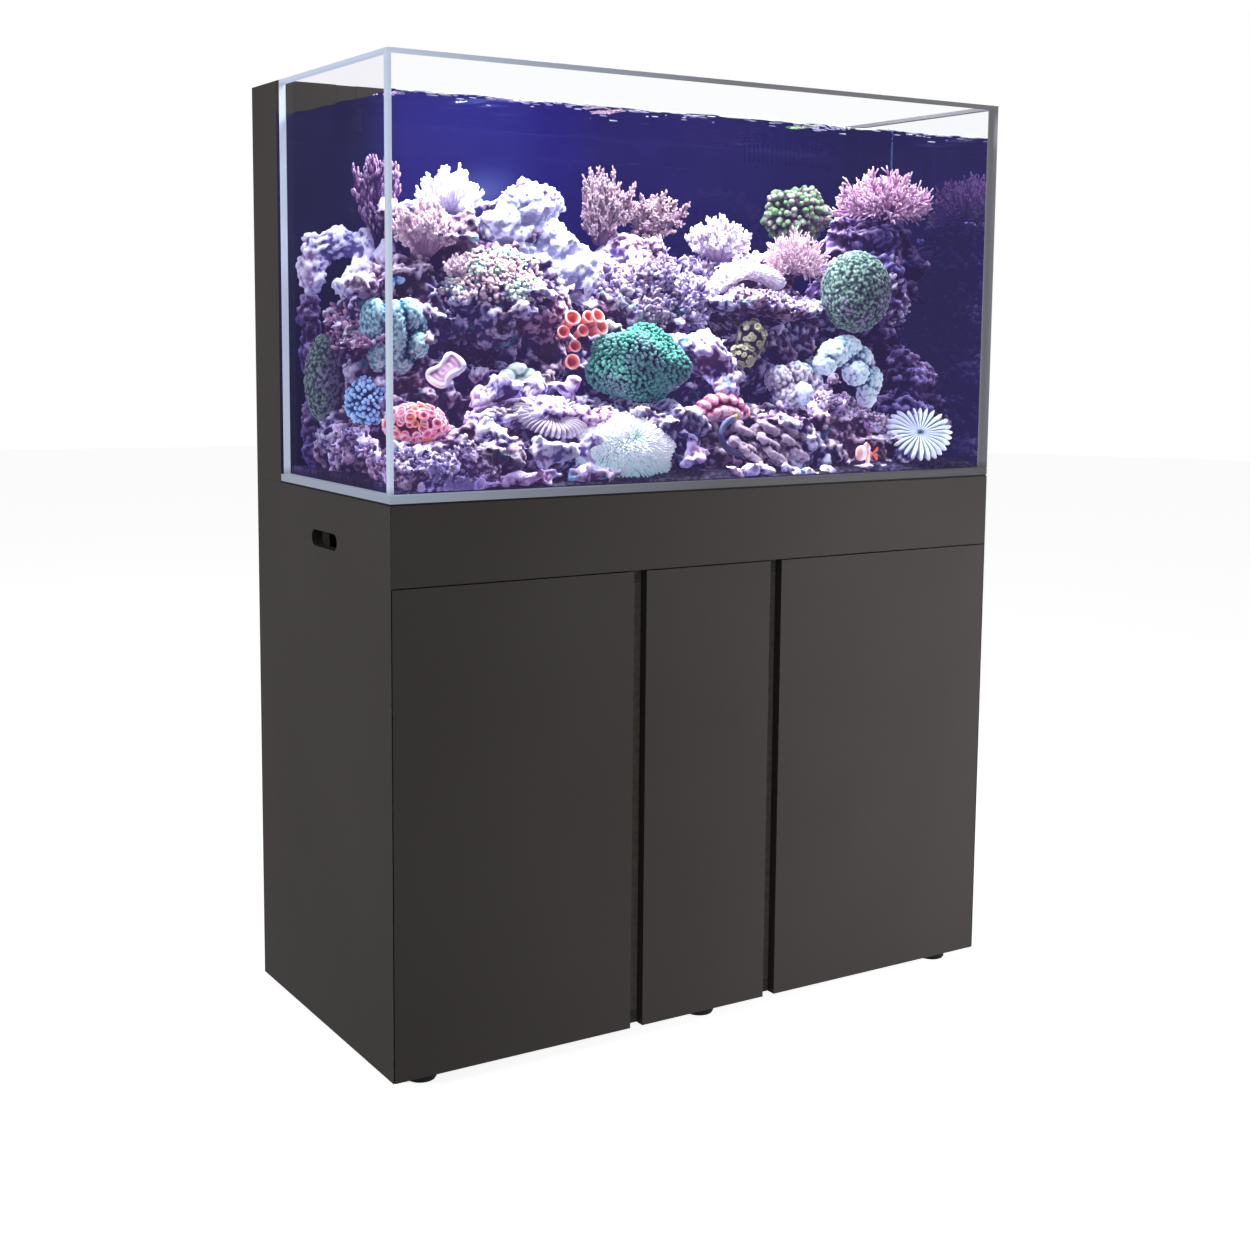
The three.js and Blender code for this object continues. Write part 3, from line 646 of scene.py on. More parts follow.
def turned(soup, centers, axes, scales, polyp, sides):
    """A turned polyp, closed at both ends, set on every centre along its axis."""
    centers = np.asarray(centers, float).reshape(-1, 3)
    axes = unit(np.asarray(axes, float).reshape(-1, 3))
    side, other = frames(axes)
    profile = np.asarray(polyp, float)
    tips = profile[:, 2]
    scales = np.broadcast_to(np.asarray(scales, float), (len(centers),))
    angle = np.arange(sides) * (2 * math.pi / sides)
    across = (np.cos(angle)[None, None, :, None] * side[:, None, None, :]
              + np.sin(angle)[None, None, :, None] * other[:, None, None, :])
    rings = (centers[:, None, None, :]
             + scales[:, None, None, None] * (profile[None, :, None, 0:1] * across
                                              + profile[None, :, None, 1:2] * axes[:, None, None, :]))
    count, levels = len(centers), len(profile)
    base = centers + scales[:, None] * profile[0, 1] * axes
    apex = centers + scales[:, None] * profile[-1, 1] * axes
    verts = np.concatenate([rings.reshape(count, levels * sides, 3), base[:, None], apex[:, None]], axis=1)
    values = np.tile(np.concatenate([np.repeat(tips, sides), tips[:1], tips[-1:]]), count)
    soup.add(verts, tube_faces(count, levels, sides), values)


def tube_faces(count, levels, sides):
    """Quads round each tube, and a fan of triangles on each end."""
    stride = levels * sides + 2
    ring = np.arange(sides)
    nxt = (ring + 1) % sides
    quads = []
    for level in range(levels - 1):
        a, b = level * sides, (level + 1) * sides
        quads.append(np.stack([a + ring, a + nxt, b + nxt, b + ring], axis=1))
    quads = np.concatenate(quads)
    last = (levels - 1) * sides
    fans = np.concatenate([
        np.stack([nxt, ring, np.full(sides, stride - 2)], axis=1),
        np.stack([last + ring, last + nxt, np.full(sides, stride - 1)], axis=1),
    ])
    offsets = (np.arange(count) * stride)[:, None, None]
    return (quads[None] + offsets).reshape(-1, 4), (fans[None] + offsets).reshape(-1, 3)


def curled(starts, directions, bend, length, steps):
    """Paths that set out in one direction and bend over into another."""
    t = np.linspace(0, 1, steps)[None, :, None]
    return starts[:, None] + length * (t * directions[:, None] * (1 - 0.5 * t) + 0.5 * t * t * bend[:, None])


CROWN = ((0.55, 0.83), (0.9, 0.42))  # a tube's rounded end: how far past its path, and how wide, in radii


def tubes(soup, paths, radii, sides, tips):
    """Tapered tubes along many paths with as many points each, with a rounded end."""
    paths, radii = np.asarray(paths, float), np.asarray(radii, float)
    count, length = paths.shape[:2]
    end = unit(paths[:, -1] - paths[:, -2])
    reach = radii[:, -1:]
    crown = np.stack([paths[:, -1] + end * reach * past for past, _ in CROWN], axis=1)
    paths = np.concatenate([paths, crown], axis=1)
    radii = np.concatenate([radii] + [reach * wide for _, wide in CROWN], axis=1)
    tangent = unit(np.gradient(paths, axis=1))
    side, other = frames(tangent[:, 0])
    side = unit(side[:, None] - (side[:, None] * tangent).sum(-1, keepdims=True) * tangent)
    other = np.cross(tangent, side)
    angle = np.arange(sides) * (2 * math.pi / sides)
    rings = paths[:, :, None, :] + radii[:, :, None, None] * (
        np.cos(angle)[None, None, :, None] * side[:, :, None, :]
        + np.sin(angle)[None, None, :, None] * other[:, :, None, :])
    levels = length + len(CROWN)
    apex = paths[:, -1] + end * reach * 0.12
    verts = np.concatenate([rings.reshape(count, levels * sides, 3), paths[:, :1], apex[:, None]], axis=1)
    tips = np.concatenate([tips, np.repeat(tips[:, -1:], len(CROWN), axis=1)], axis=1)
    values = np.concatenate([np.repeat(tips, sides, axis=1), tips[:, :1], tips[:, -1:]], axis=1)
    soup.add(verts, tube_faces(count, levels, sides), values)


def dome_points(count, low=-0.2):
    """Evenly spread directions over a ball, from the height low up to its top."""
    index = np.arange(count) + 0.5
    z = 1 - index / count * (1 - low)
    turn = index * math.pi * (3 - math.sqrt(5))
    radius = np.sqrt(np.maximum(1 - z * z, 0))
    return np.stack([radius * np.cos(turn), radius * np.sin(turn), z], axis=1)


def tip_from_relief(mesh, gain, rounds):
    """Marks bumps as tips and hollows as crevices.

    The value is each vertex's height over the mean of its neighbours, after each number of rounds.
    """
    count = len(mesh.vertices)
    co = gathered(mesh.vertices, "co", 3).astype(float)
    normal = gathered(mesh.vertices, "normal", 3)
    edges = gathered(mesh.edges, "vertices", 2, np.int32)
    degree = np.maximum(np.bincount(edges.reshape(-1), minlength=count), 1)[:, None]
    # The reef colours are dark at low values: painted shade in the hollows, and the wide rounds shade whole
    # hollows.
    blurred, values = co.copy(), np.full(count, 0.5)
    for turn in range(max(rounds)):
        total = np.empty((count, 3))
        for k in range(3):
            total[:, k] = (np.bincount(edges[:, 0], blurred[edges[:, 1], k], count)
                           + np.bincount(edges[:, 1], blurred[edges[:, 0], k], count))
        blurred = total / degree
        if turn + 1 in rounds:
            relief = ((co - blurred) * normal).sum(1)
            values += gain * relief / (4 * max(float(np.std(relief)), 1e-9)) / len(rounds)
    layer = mesh.attributes.get("tip") or mesh.attributes.new("tip", "FLOAT", "POINT")
    layer.data.foreach_set("value", np.clip(values, 0, 1).astype(np.float32))


def texture(kind, size, **settings):
    tex = bpy.data.textures.new(f"{kind.lower()}_{size}", kind)
    tex.noise_scale = size
    for key, value in settings.items():
        setattr(tex, key, value)
    return tex


def roughened(source, steps):
    """A copy of a mesh after a list of (modifier kind, settings), applied in order."""
    helper = linked("helper", source.copy())
    for kind, settings in steps:
        modifier = helper.modifiers.new(kind.lower(), kind)
        for key, value in settings.items():
            setattr(modifier, key, value)
    bpy.context.view_layer.update()
    evaluated = helper.evaluated_get(bpy.context.evaluated_depsgraph_get())
    mesh = bpy.data.meshes.new_from_object(evaluated)
    bpy.data.objects.remove(helper)
    mesh.polygons.foreach_set("use_smooth", np.ones(len(mesh.polygons), bool))
    return mesh


def remesh(size):
    return "REMESH", {"mode": "VOXEL", "voxel_size": size, "use_smooth_shade": True}


def displace(tex, strength, middle=0.5):
    return "DISPLACE", {"texture": tex, "strength": strength, "mid_level": middle, "texture_coords": "LOCAL"}


def lump_mesh(lumps):
    """Ellipsoids (centre, half sizes) as one mesh, ready to be remeshed into a single skin."""
    made = bmesh.new()
    for center, half in lumps:
        matrix = Matrix.Translation(Vector(center)) @ Matrix.Diagonal((*half, 1.0))
        bmesh.ops.create_icosphere(made, subdivisions=3, radius=1.0, matrix=matrix)
    return from_bmesh(made, "lumps")


# ---------- rock ----------
ROCK_VOXEL = 0.00365
BOULDER_VOXEL = 0.0030
OPEN_WATER = (-0.1, -0.8, 0.55)  # the way that open water lies from the rocks: forward and up
COARSE_VOXEL = 8 * MM


def rock_steps(voxel, swell, pits):
    """Big swells first, then crags, then crumbs and pits on a finer skin."""
    return [
        remesh(COARSE_VOXEL),
        displace(texture("CLOUDS", 0.085, noise_depth=2), swell),
        displace(texture("CLOUDS", 0.042, noise_depth=1, noise_type="HARD_NOISE"), swell * 0.75, 0.35),
        remesh(voxel),
        displace(texture("CLOUDS", 0.018, noise_depth=2, noise_type="HARD_NOISE"), pits, 0.4),
        displace(texture("VORONOI", 0.014), -pits * 0.55, 0.4),
    ]


def make_rock(name, source, material, voxel=ROCK_VOXEL, swell=0.05, pits=0.012, caves=(), stands_for=()):
    steps = rock_steps(voxel, swell, pits)
    if caves:
        cutter = linked("cutter", roughened(lump_mesh(caves), [remesh(COARSE_VOXEL)]))
        steps.insert(1, ("BOOLEAN", {"object": cutter, "operation": "DIFFERENCE"}))
    mesh = roughened(source, steps)
    if caves:
        bpy.data.objects.remove(cutter)
    mesh.materials.clear()
    keep_in_water(mesh)
    tip_from_relief(mesh, gain=1.7, rounds=(6, 60))
    return place_piece(name, mesh, material, stands_for=stands_for)


def with_ledges(node, count):
    """The frame's rock with flat ledges standing out of it, which shade what lies under them."""
    seed = len(node) + count
    rng = np.random.default_rng(seed)
    piece = frame["nodes"][node]
    low, high = spot(-0.1, -0.1, -0.1), spot(1.1, 1.1, 1.1)
    points, normals = surface_samples(piece, count, seed, OPEN_WATER, low, high)
    made = bmesh.new()
    made.from_mesh(piece.data)
    for point, normal in zip(points, normals):
        half = Vector(rng.uniform((0.028, 0.024, 0.009), (0.075, 0.045, 0.019)))
        turn = (Matrix.Rotation(rng.uniform(-0.5, 0.5), 4, "Z")
                @ Matrix.Rotation(rng.uniform(-0.25, 0.25), 4, "Y"))
        place = Matrix.Translation(Vector(point - normal * 0.004))
        matrix = place @ turn @ Matrix.Diagonal((*half, 1.0))
        bmesh.ops.create_icosphere(made, subdivisions=3, radius=1.0, matrix=matrix)
    return from_bmesh(made, node + "_ledges")


def keep_in_water(mesh, margin=0.003):
    """Presses any bump that would pass through the glass or the sand's underside back inside."""
    low = np.array([WATER_LOW.x + margin, WATER_LOW.y + margin, SAND[0].z + 0.002])
    high = np.array([WATER_HIGH.x - margin, WATER_HIGH.y - margin, WATER_TOP - 0.01])
    co = gathered(mesh.vertices, "co", 3)
    mesh.vertices.foreach_set("co", np.clip(co, low, high).reshape(-1))
    mesh.update()


def surface_samples(piece, count, seed, facing, low, high, clumps=0, reach=0.03):
    """Points and normals on what of a piece lies between low and high and looks the way of facing."""
    rng = np.random.default_rng(seed)
    faces = piece.data.polygons
    total = len(faces)
    centers, normals = (gathered(faces, field, 3).astype(float) for field in ("center", "normal"))
    areas = gathered(faces, "area", 1)[:, 0]
    weight = areas * np.clip((normals * unit(facing)).sum(1) + 0.1, 0, 1)
    weight = weight * np.all((centers >= low) & (centers <= high), axis=1)
    if clumps:
        hearts = centers[rng.choice(total, size=clumps, p=weight / weight.sum())]
        nearest = np.full(total, np.inf)
        for heart in hearts:
            nearest = np.minimum(nearest, ((centers - heart) ** 2).sum(1))
        weight = weight * (np.exp(-nearest / reach ** 2) + 0.01)
    chosen = rng.choice(total, size=count, p=weight / weight.sum())
    return centers[chosen], normals[chosen]


def grow_nubs(name, material, rock, low, high, count, length, radius, seed, curl=0.6,
              facing=OPEN_WATER, clumps=14):
    """Short curled fingers in clumps over a stretch of rock."""
    rng = np.random.default_rng(seed)
    points, normals = surface_samples(rock, count, seed, facing, low, high, clumps)
    bend = unit(normals + rng.normal(0, curl, (count, 3)) + [0, 0, 0.3])
    size = length * rng.uniform(0.4, 1.5, (count, 1, 1))
    paths = curled(points - normals * radius, normals, bend, size, 4)
    radii = radius * rng.uniform(0.45, 1.3, (count, 1)) * np.array([[1.0, 0.85, 0.95, 0.8]])
    soup = Soup()
    # Dark at the foot, pale at the end: partly the nub's own pale tip, partly painted shade.
    tubes(soup, paths, radii, 6, rng.uniform(0.4, 1.0, (count, 1)) * np.array([[0.1, 0.45, 0.85, 1.0]]))
    return place_piece(name, soup.mesh(name), material)


def grow_polyps(name, material, rock, low, high, count, size, polyp, seed):
    """Turned polyps scattered over a stretch of rock."""
    rng = np.random.default_rng(seed)
    points, normals = surface_samples(rock, count, seed, OPEN_WATER, low, high)
    axes = unit(normals + rng.normal(0, 0.2, (count, 3)))
    soup = Soup()
    turned(soup, points - axes * size * 0.2, axes, size * rng.uniform(0.6, 1.2, count), polyp, 8)
    return place_piece(name, soup.mesh(name), material)


# ---------- coral generators ----------
# Polyps as turned profiles: (radius, height, tip value) from the foot to the mouth.
BUD = [(0.5, 0.0, 0.0), (0.62, 0.6, 0.25), (0.66, 1.1, 0.7), (0.42, 1.5, 0.95), (0.16, 1.65, 1.0)]
BUTTON = [
    (0.5, 0.0, 0.1), (0.8, 0.4, 0.6), (1.0, 0.7, 0.85), (0.92, 0.95, 1.0), (0.66, 1.0, 0.62), (0.4, 0.8, 0.4),
    (0.15, 0.7, 0.2),
]
STALK = [
    (0.30, -1.4, 0.1), (0.26, -0.3, 0.35), (0.40, 0.35, 0.45), (0.98, 0.62, 0.75), (1.0, 0.78, 0.8),
    (0.72, 0.84, 0.95), (0.3, 0.62, 1.0), (0.12, 0.56, 0.5),
]
TUBE = [
    (0.5, 0.0, 0.2), (0.55, 0.9, 0.45), (0.74, 1.7, 0.75), (0.96, 2.1, 0.9), (0.98, 2.3, 1.0),
    (0.8, 2.35, 0.85), (0.6, 2.0, 0.55), (0.42, 1.3, 0.35),
]


def bush(rng, count, spread, lift):
    """Directions of a bush's main branches, evenly turned about the vertical."""
    turn = np.arange(count) * math.pi * (3 - math.sqrt(5)) + rng.uniform(0, 6)
    tilt = spread * np.sqrt((np.arange(count) + 0.5) / count)
    out = np.stack([np.sin(tilt) * np.cos(turn), np.sin(tilt) * np.sin(turn), np.cos(tilt) + lift], axis=1)
    return unit(out)


@dataclass
class Growth:
    """How a branched coral grows: each branch carries smaller ones, down to level 0."""
    stems: int
    levels: int
    split: int
    radius: float
    spread: float
    fan: float
    shrink: float
    taper: float
    zone: float
    rise: float = 0.25
    lift: float = 0.35
    thin: float = 0.9

    def branch(self, soup, rng, starts, directions, length, radius, level):
        """One level of branches, and the next ones standing on them: the first at each tip."""
        count = len(starts)
        steps, sides = 5 if level > 0 else 4, 8 if level > 1 else 5
        bend = unit(directions + rng.normal(0, 0.25, (count, 3)) + [0, 0, self.rise])
        size = length * rng.uniform(0.75, 1.15, (count, 1, 1))
        paths = curled(starts, directions, bend, size, steps)
        radii = radius * np.linspace(1, self.taper, steps)[None] * rng.uniform(0.85, 1.15, (count, 1))
        # Dark at the foot, pale at the end, inner branches darker: partly pale growing tips, partly painted
        # shade.
        low, high = (0.05, 0.45) if level > 0 else (0.35, 1.0)
        tubes(soup, paths, radii, sides, np.tile(np.linspace(low, high, steps), (count, 1)))
        if level == 0:
            return
        places = rng.uniform(self.zone, 1.0, (count, self.split))
        places[:, 0] = 1.0
        index = places * (steps - 1)
        lower = np.clip(index.astype(int), 0, steps - 2)
        part = (index - lower)[..., None]
        rows = np.arange(count)[:, None]
        roots = paths[rows, lower] * (1 - part) + paths[rows, lower + 1] * part
        along = unit(paths[rows, lower + 1] - paths[rows, lower])
        side, other = frames(along)
        turn = rng.uniform(0, 2 * math.pi, (count, self.split, 1))
        angle = self.spread * rng.uniform(0.6, 1.1, (count, self.split, 1))
        angle[:, 0] *= 0.4
        heading = unit(np.cos(angle) * along + np.sin(angle) * (np.cos(turn) * side + np.sin(turn) * other)
                       + [0, 0, self.rise * 0.4])
        self.branch(soup, rng, roots.reshape(-1, 3), heading.reshape(-1, 3), length * self.shrink,
                    radius * self.taper * self.thin, level - 1)

    def make(self, name, material, slot, low, high, seed, stands_for=()):
        """A coral that fills the box from low to high."""
        rng = np.random.default_rng(seed)
        soup = Soup()
        directions = bush(rng, self.stems, self.fan, self.lift)
        self.branch(soup, rng, directions * [0.12, 0.12, 0.0], directions, 0.5, self.radius, self.levels)
        soup.fit(low, high)
        return place_piece(name, soup.mesh(name), material, stands_for=stands_for)


def around(center, size):
    """The box of a size about a centre."""
    center, size = np.asarray(center, float), np.asarray(size, float)
    return center - size / 2, center + size / 2


def ball(detail=4):
    """Vertices and faces of a geodesic ball of radius 1."""
    made = bmesh.new()
    bmesh.ops.create_icosphere(made, subdivisions=detail, radius=1.0)
    verts = np.array([v.co for v in made.verts])
    faces = np.array([[v.index for v in f.verts] for f in made.faces])
    made.free()
    return verts, faces


def polyp_dome(name, material, center, half, count, size, polyp, seed, sides=8, wobble=0.05,
               stands_for=()):
    """A dome packed with polyps: a dark core, painted shade between them, and one turned polyp on each spot.
    """
    rng = np.random.default_rng(seed)
    center, half = np.asarray(center, float), np.asarray(half, float)

    def swell(out):
        wave = np.sin(out[:, 0] * 5 + seed) * np.cos(out[:, 1] * 4 - seed)
        wave = wave + 0.7 * np.sin(out[:, 2] * 6 + out[:, 0] * 3)
        return (1 + wobble * wave)[:, None]

    low = -0.9
    apart = math.sqrt(2 * math.pi * (1 - low) / count)
    out = unit(dome_points(count, low) + rng.normal(0, 0.28 * apart, (count, 3)))
    axes = unit(unit(out / half) + rng.normal(0, 0.14, (count, 3)))
    points = center + out * (half - size * 0.9) * swell(out)
    soup = Soup()
    turned(soup, points - axes * size * 0.2, axes, size * rng.uniform(0.75, 1.2, count), polyp, sides)
    # The core takes the darkest colour: painted shade in the gaps between the polyps.
    verts, faces = ball()
    soup.add(center + verts * (half - size * 0.95) * swell(verts), [faces], np.zeros(len(verts)))
    return place_piece(name, soup.mesh(name), material, stands_for=stands_for)


def lobed(name, material, lobes, voxel, bumps, depth, fine=0.0, stands_for=()):
    """Rounded lobes run together into one skin, with bumps of one size over it."""
    steps = [remesh(voxel), ("SMOOTH", {"factor": 0.5, "iterations": 3}),
             displace(texture("VORONOI", bumps), -depth, 0.4)]
    if fine:
        steps.append(displace(texture("CLOUDS", bumps * 0.5, noise_depth=1), fine))
    mesh = roughened(lump_mesh(lobes), steps)
    keep_in_water(mesh)
    tip_from_relief(mesh, gain=1.5, rounds=(6, 24))
    return place_piece(name, mesh, material, stands_for=stands_for)


def arc(points, half, steps=9):
    """Overlapping ellipsoids along a bent line; the half sizes shrink towards both ends."""
    points = np.asarray(points, float)
    share = np.linspace(0, 1, steps)
    centers = sampled(points, share)
    for _ in range(2):
        centers[1:-1] = (centers[:-2] + 2 * centers[1:-1] + centers[2:]) / 4
    swell = 0.72 + 0.28 * np.sin(share * math.pi)
    return [(center, np.asarray(half) * size) for center, size in zip(centers, swell)]


def pleated(name, material, center, axis, radius, squeeze, pleats, depth, dish, lobes=0.08, turns=360):
    """A round sheet of radial pleats, dished in the middle, with a lobed rim and a dark mouth."""
    rings = 26
    angle = np.linspace(0, 2 * math.pi, turns, endpoint=False)
    r = np.linspace(0.05, 1, rings)
    ga, gr = np.meshgrid(angle, r, indexing="ij")
    ridge = np.cos(ga * pleats + 0.5 * np.sin(ga * 5))
    reach = radius * gr * (1 + lobes * ridge * gr ** 2 + 0.05 * np.sin(ga * 3))
    rise = dish * (gr ** 2 - gr ** 7 * 1.3) + depth * ridge * np.sqrt(gr)
    side, other = frames(np.asarray(axis, float))
    axis = unit(axis)
    top = (np.asarray(center) + (reach * np.cos(ga))[..., None] * side
           + (squeeze * reach * np.sin(ga))[..., None] * other + rise[..., None] * axis)
    under = top - axis * 0.004 - (reach * 0.02)[..., None] * axis
    index = np.arange(turns * rings).reshape(turns, rings)
    nxt = np.roll(index, -1, axis=0)
    quads = np.stack([index[:, :-1], index[:, 1:], nxt[:, 1:], nxt[:, :-1]], axis=-1).reshape(-1, 4)
    count = turns * rings
    rim = np.stack([index[:, -1], index[:, -1] + count, nxt[:, -1] + count, nxt[:, -1]], axis=1)
    hole = np.stack([index[:, 0], nxt[:, 0], nxt[:, 0] + count, index[:, 0] + count], axis=1)
    # Painted shade: the furrows between the pleats are darker, and the underside darker still.
    tips = np.clip(0.55 + 0.5 * ridge - 1.2 * np.exp(-(gr / 0.11) ** 2), 0, 1).reshape(-1)
    soup = Soup()
    soup.add(np.concatenate([top.reshape(-1, 3), under.reshape(-1, 3)]),
             [quads, quads[:, ::-1] + count, rim, hole], np.concatenate([tips, tips * 0.3]))
    return place_piece(name, soup.mesh(name), material)


def make_fish(name, material, spine, height, width, fins, reverse=False):
    """A fish: oval rings along a curved spine, then thin fins, each (spine share from, to, rise, sweep)."""
    spine = np.asarray(spine, float)
    steps, sides = 36, 20
    t = np.linspace(0, 1, steps)
    path = sampled(spine, t)
    for _ in range(8):
        path[1:-1] = (path[:-2] + path[1:-1] * 2 + path[2:]) / 4
    tangent = unit(np.gradient(path, axis=0))
    up = unit(np.array([0, 0, 1.0]) - tangent * tangent[:, 2:3] + 1e-6)
    side = np.cross(tangent, up)
    shape = np.sin(np.clip(t * 1.02 + 0.02, 0, 1) ** 0.62 * math.pi) ** 0.75 * (1 - 0.25 * t) + 0.10
    angle = np.arange(sides) * (2 * math.pi / sides)
    rings = (path[:, None] + (height / 2 * shape)[:, None, None] * np.sin(angle)[None, :, None] * up[:, None]
             + (width / 2 * shape)[:, None, None] * np.cos(angle)[None, :, None] * side[:, None])
    verts = np.concatenate([rings.reshape(-1, 3), path[:1], path[-1:]])
    soup = Soup()
    values = np.concatenate([np.repeat(t, sides), t[:1], t[-1:]])
    soup.add(verts, tube_faces(1, steps, sides), 1 - values if reverse else values)
    length, width_steps = 24, 6
    for start, end, rise, sweep in fins:
        share = np.linspace(start, end, length)
        base, along, lift = (sampled(line, share, t) for line in (path, tangent, up))
        across = np.cross(along, lift)
        edge = np.sin(np.linspace(0.15, math.pi - 0.25, length)) ** 0.5
        edge = edge * (1 + 0.06 * np.cos(np.arange(length) * 2.1))
        v = np.linspace(0, 1, width_steps)
        sheet = (base[:, None] + (rise * edge)[:, None, None] * v[None, :, None] * lift[:, None]
                 + (sweep * v[None, :, None]) * along[:, None])
        thick = 0.0005 * across[:, None] * np.ones((1, width_steps, 1))
        value = np.repeat(1 - share if reverse else share, width_steps)
        soup.add_slab(sheet + thick, sheet - thick, value, value)
    return place_piece(name, soup.mesh(name), material)


# ---------- the panes, and the water ----------
def bevelled_box(low, high, width):
    made = bmesh.new()
    size = Vector(high) - Vector(low)
    middle = (Vector(high) + Vector(low)) / 2
    bmesh.ops.create_cube(made, size=1.0, matrix=Matrix.Translation(middle) @ Matrix.Diagonal((*size, 1.0)))
    bmesh.ops.bevel(made, geom=made.edges[:], offset=width, segments=2, affect="EDGES", profile=0.5)
    return made


def make_pane(node, thin_axis, clear, edge, rim):
    """A pane with polished bevels: clear large faces, a pale edge, and a pale band of width rim on top."""
    low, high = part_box(node)
    made = bevelled_box(low, high, 0.0008)
    if rim:
        bmesh.ops.bisect_plane(made, geom=made.verts[:] + made.edges[:] + made.faces[:],
                               plane_co=(0, 0, high.z - rim), plane_no=(0, 0, 1))
    made.normal_update()
    # The edges and the top band take the edge material, whose colour is painted light.
    for face in made.faces:
        is_clear = abs(face.normal[thin_axis]) > 0.99 and face.calc_center_median().z < high.z - rim
        face.material_index = 0 if is_clear else 1
    mesh = from_bmesh(made, node + "_glass")
    mesh.materials.append(clear)
    mesh.materials.append(edge)
    return place_piece(node + "_glass", mesh, clear, stands_for=(node,))


def grid(low, high, columns, rows, gap=0.0):
    """The x and y of a level grid of points over a box, a gap inside its sides."""
    x = np.linspace(low.x + gap, high.x - gap, columns)
    y = np.linspace(low.y + gap, high.y - gap, rows)
    return np.meshgrid(x, y, indexing="ij")


def make_water(walls_material, top_material):
    """One closed body: flat against the panes, with a rippled top."""
    gap = 0.6 * MM
    x, y = grid(WATER_LOW, WATER_HIGH, 150, 54, gap)
    wave = (np.sin(x * 31 + y * 14) + 0.8 * np.sin(x * 47 - y * 33 + 1.3)
            + 0.6 * np.sin(x * 83 + y * 61 + 0.4) + 0.5 * np.sin(x * 17 - y * 71)
            + 0.35 * np.sin(x * 131 - y * 97 + 2.0))
    top = np.stack([x, y, WATER_TOP + 0.0011 * wave], axis=-1)
    bottom = top.copy()
    bottom[..., 2] = SAND[0].z + gap
    soup = Soup()
    soup.add_slab(top, bottom, np.zeros(x.size), np.zeros(x.size))
    mesh = soup.mesh("water")
    made = bmesh.new()
    made.from_mesh(mesh)
    for edge in made.edges:
        edge.smooth = len({abs(face.normal.z) > 0.7 for face in edge.link_faces}) == 1
    inset = 0.01
    flat = [v for v in made.verts if v.co.z < WATER_TOP - 0.1
            and WATER_LOW.x + inset < v.co.x < WATER_HIGH.x - inset
            and WATER_LOW.y + inset < v.co.y < WATER_HIGH.y - inset]
    bmesh.ops.dissolve_verts(made, verts=flat)
    bmesh.ops.recalc_face_normals(made, faces=made.faces)
    made.to_mesh(mesh)
    made.free()
    mesh.materials.append(walls_material)
    mesh.materials.append(top_material)
    for face in mesh.polygons:
        is_top = face.center.z > WATER_TOP - 0.02 and abs(face.normal.z) > 0.7
        face.use_smooth = is_top
        face.material_index = int(is_top)
    return place_piece("water", mesh, walls_material)


def make_tank(palette):
    clear = clear_material("clear_glass", (0.985, 0.99, 0.995), 0.004, grazing=0.25)
    shaded = clear_material("side_glass", (0.95, 0.95, 0.975), 0.002, grazing=0.12)
    edge = glass_edge_material()
    blue = blue_back_material()
    for node, thin_axis, glass, rim in (
        ("tank_front", 1, clear, 0.0065), ("tank_left", 0, shaded, 0.006), ("tank_right", 0, clear, 0.0065),
        ("tank_bottom", 2, clear, 0.0),
    ):
        make_pane(node, thin_axis, glass, edge, rim)
    # The weir, its comb, the nozzle and the grommet take the back wall's glowing blue: painted light that
    # hides them in it.
    for node in ("tank_back", "weir_comb", "weir_box", "return_nozzle"):
        dress(node, blue)
    make_grommet(blue)
    make_water(water_material("water_side", (0.13, 0.12, 0.22), 0.03, (0.026, 0.022, 0.074)),
               water_material("water_surface", (0.95, 0.95, 1.0), 0.1))
    make_glints(palette["white"])


def make_grommet(material):
    """The seal round the return pipe over the back pane, which closes the notch up to the rim."""
    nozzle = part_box("return_nozzle")
    across = (nozzle[0].x + nozzle[1].x) / 2
    half, height, gap = 17.7 * MM, 38 * MM, 0.4 * MM
    made = bevelled_box((across - half, BACK_PANE[0].y + gap, BACK_PANE[1].z - height),
                        (across + half, BACK_PANE[1].y - gap, BACK_PANE[1].z - gap), 1 * MM)
    return place_piece("return_grommet", from_bmesh(made, "return_grommet"), material)


def make_glints(material):
    """Painted highlights where the surface meets the panes: short bright dashes, as where it catches the
    light.
    """
    rng = np.random.default_rng(71)
    count = 240
    places = np.sort(rng.uniform(0, 1, count))
    x = WATER_LOW.x + 0.004 + places * (WATER_HIGH.x - WATER_LOW.x - 0.008)
    wave = 0.0012 * np.sin(x * 23) + 0.0008 * np.sin(x * 57 + 1.0)
    half = np.stack([
        rng.uniform(0.002, 0.011, count), np.full(count, 0.0006), rng.uniform(0.0003, 0.0011, count),
    ], axis=1)
    height = WATER_TOP + wave + 0.001 - rng.exponential(0.0026, count)
    center = np.stack([x, np.full(count, WATER_LOW.y + 0.0016), height], axis=1)
    soup = Soup()
    soup.add_balls(center, half, 0.9)
    return place_piece("surface_glints", soup.mesh("glints"), material)


def dress(node, material):
    """Gives a CAD node that keeps its shape a better material."""
    piece = frame["nodes"][node]
    piece.data.materials.clear()
    piece.data.materials.append(material)


# ---------- reef ----------
def scattered(path, count, low, high, spread, seed):
    """Round lumps strewn along a bent line of places in the water, as (centre, half sizes)."""
    rng = np.random.default_rng(seed)
    path = np.array([spot(*place) for place in path])
    centers = sampled(path, rng.uniform(0, 1, count))
    centers += rng.normal(0, spread, (count, 3))
    return [(center, rng.uniform(low, high) * rng.uniform(0.75, 1.2, 3)) for center in centers]


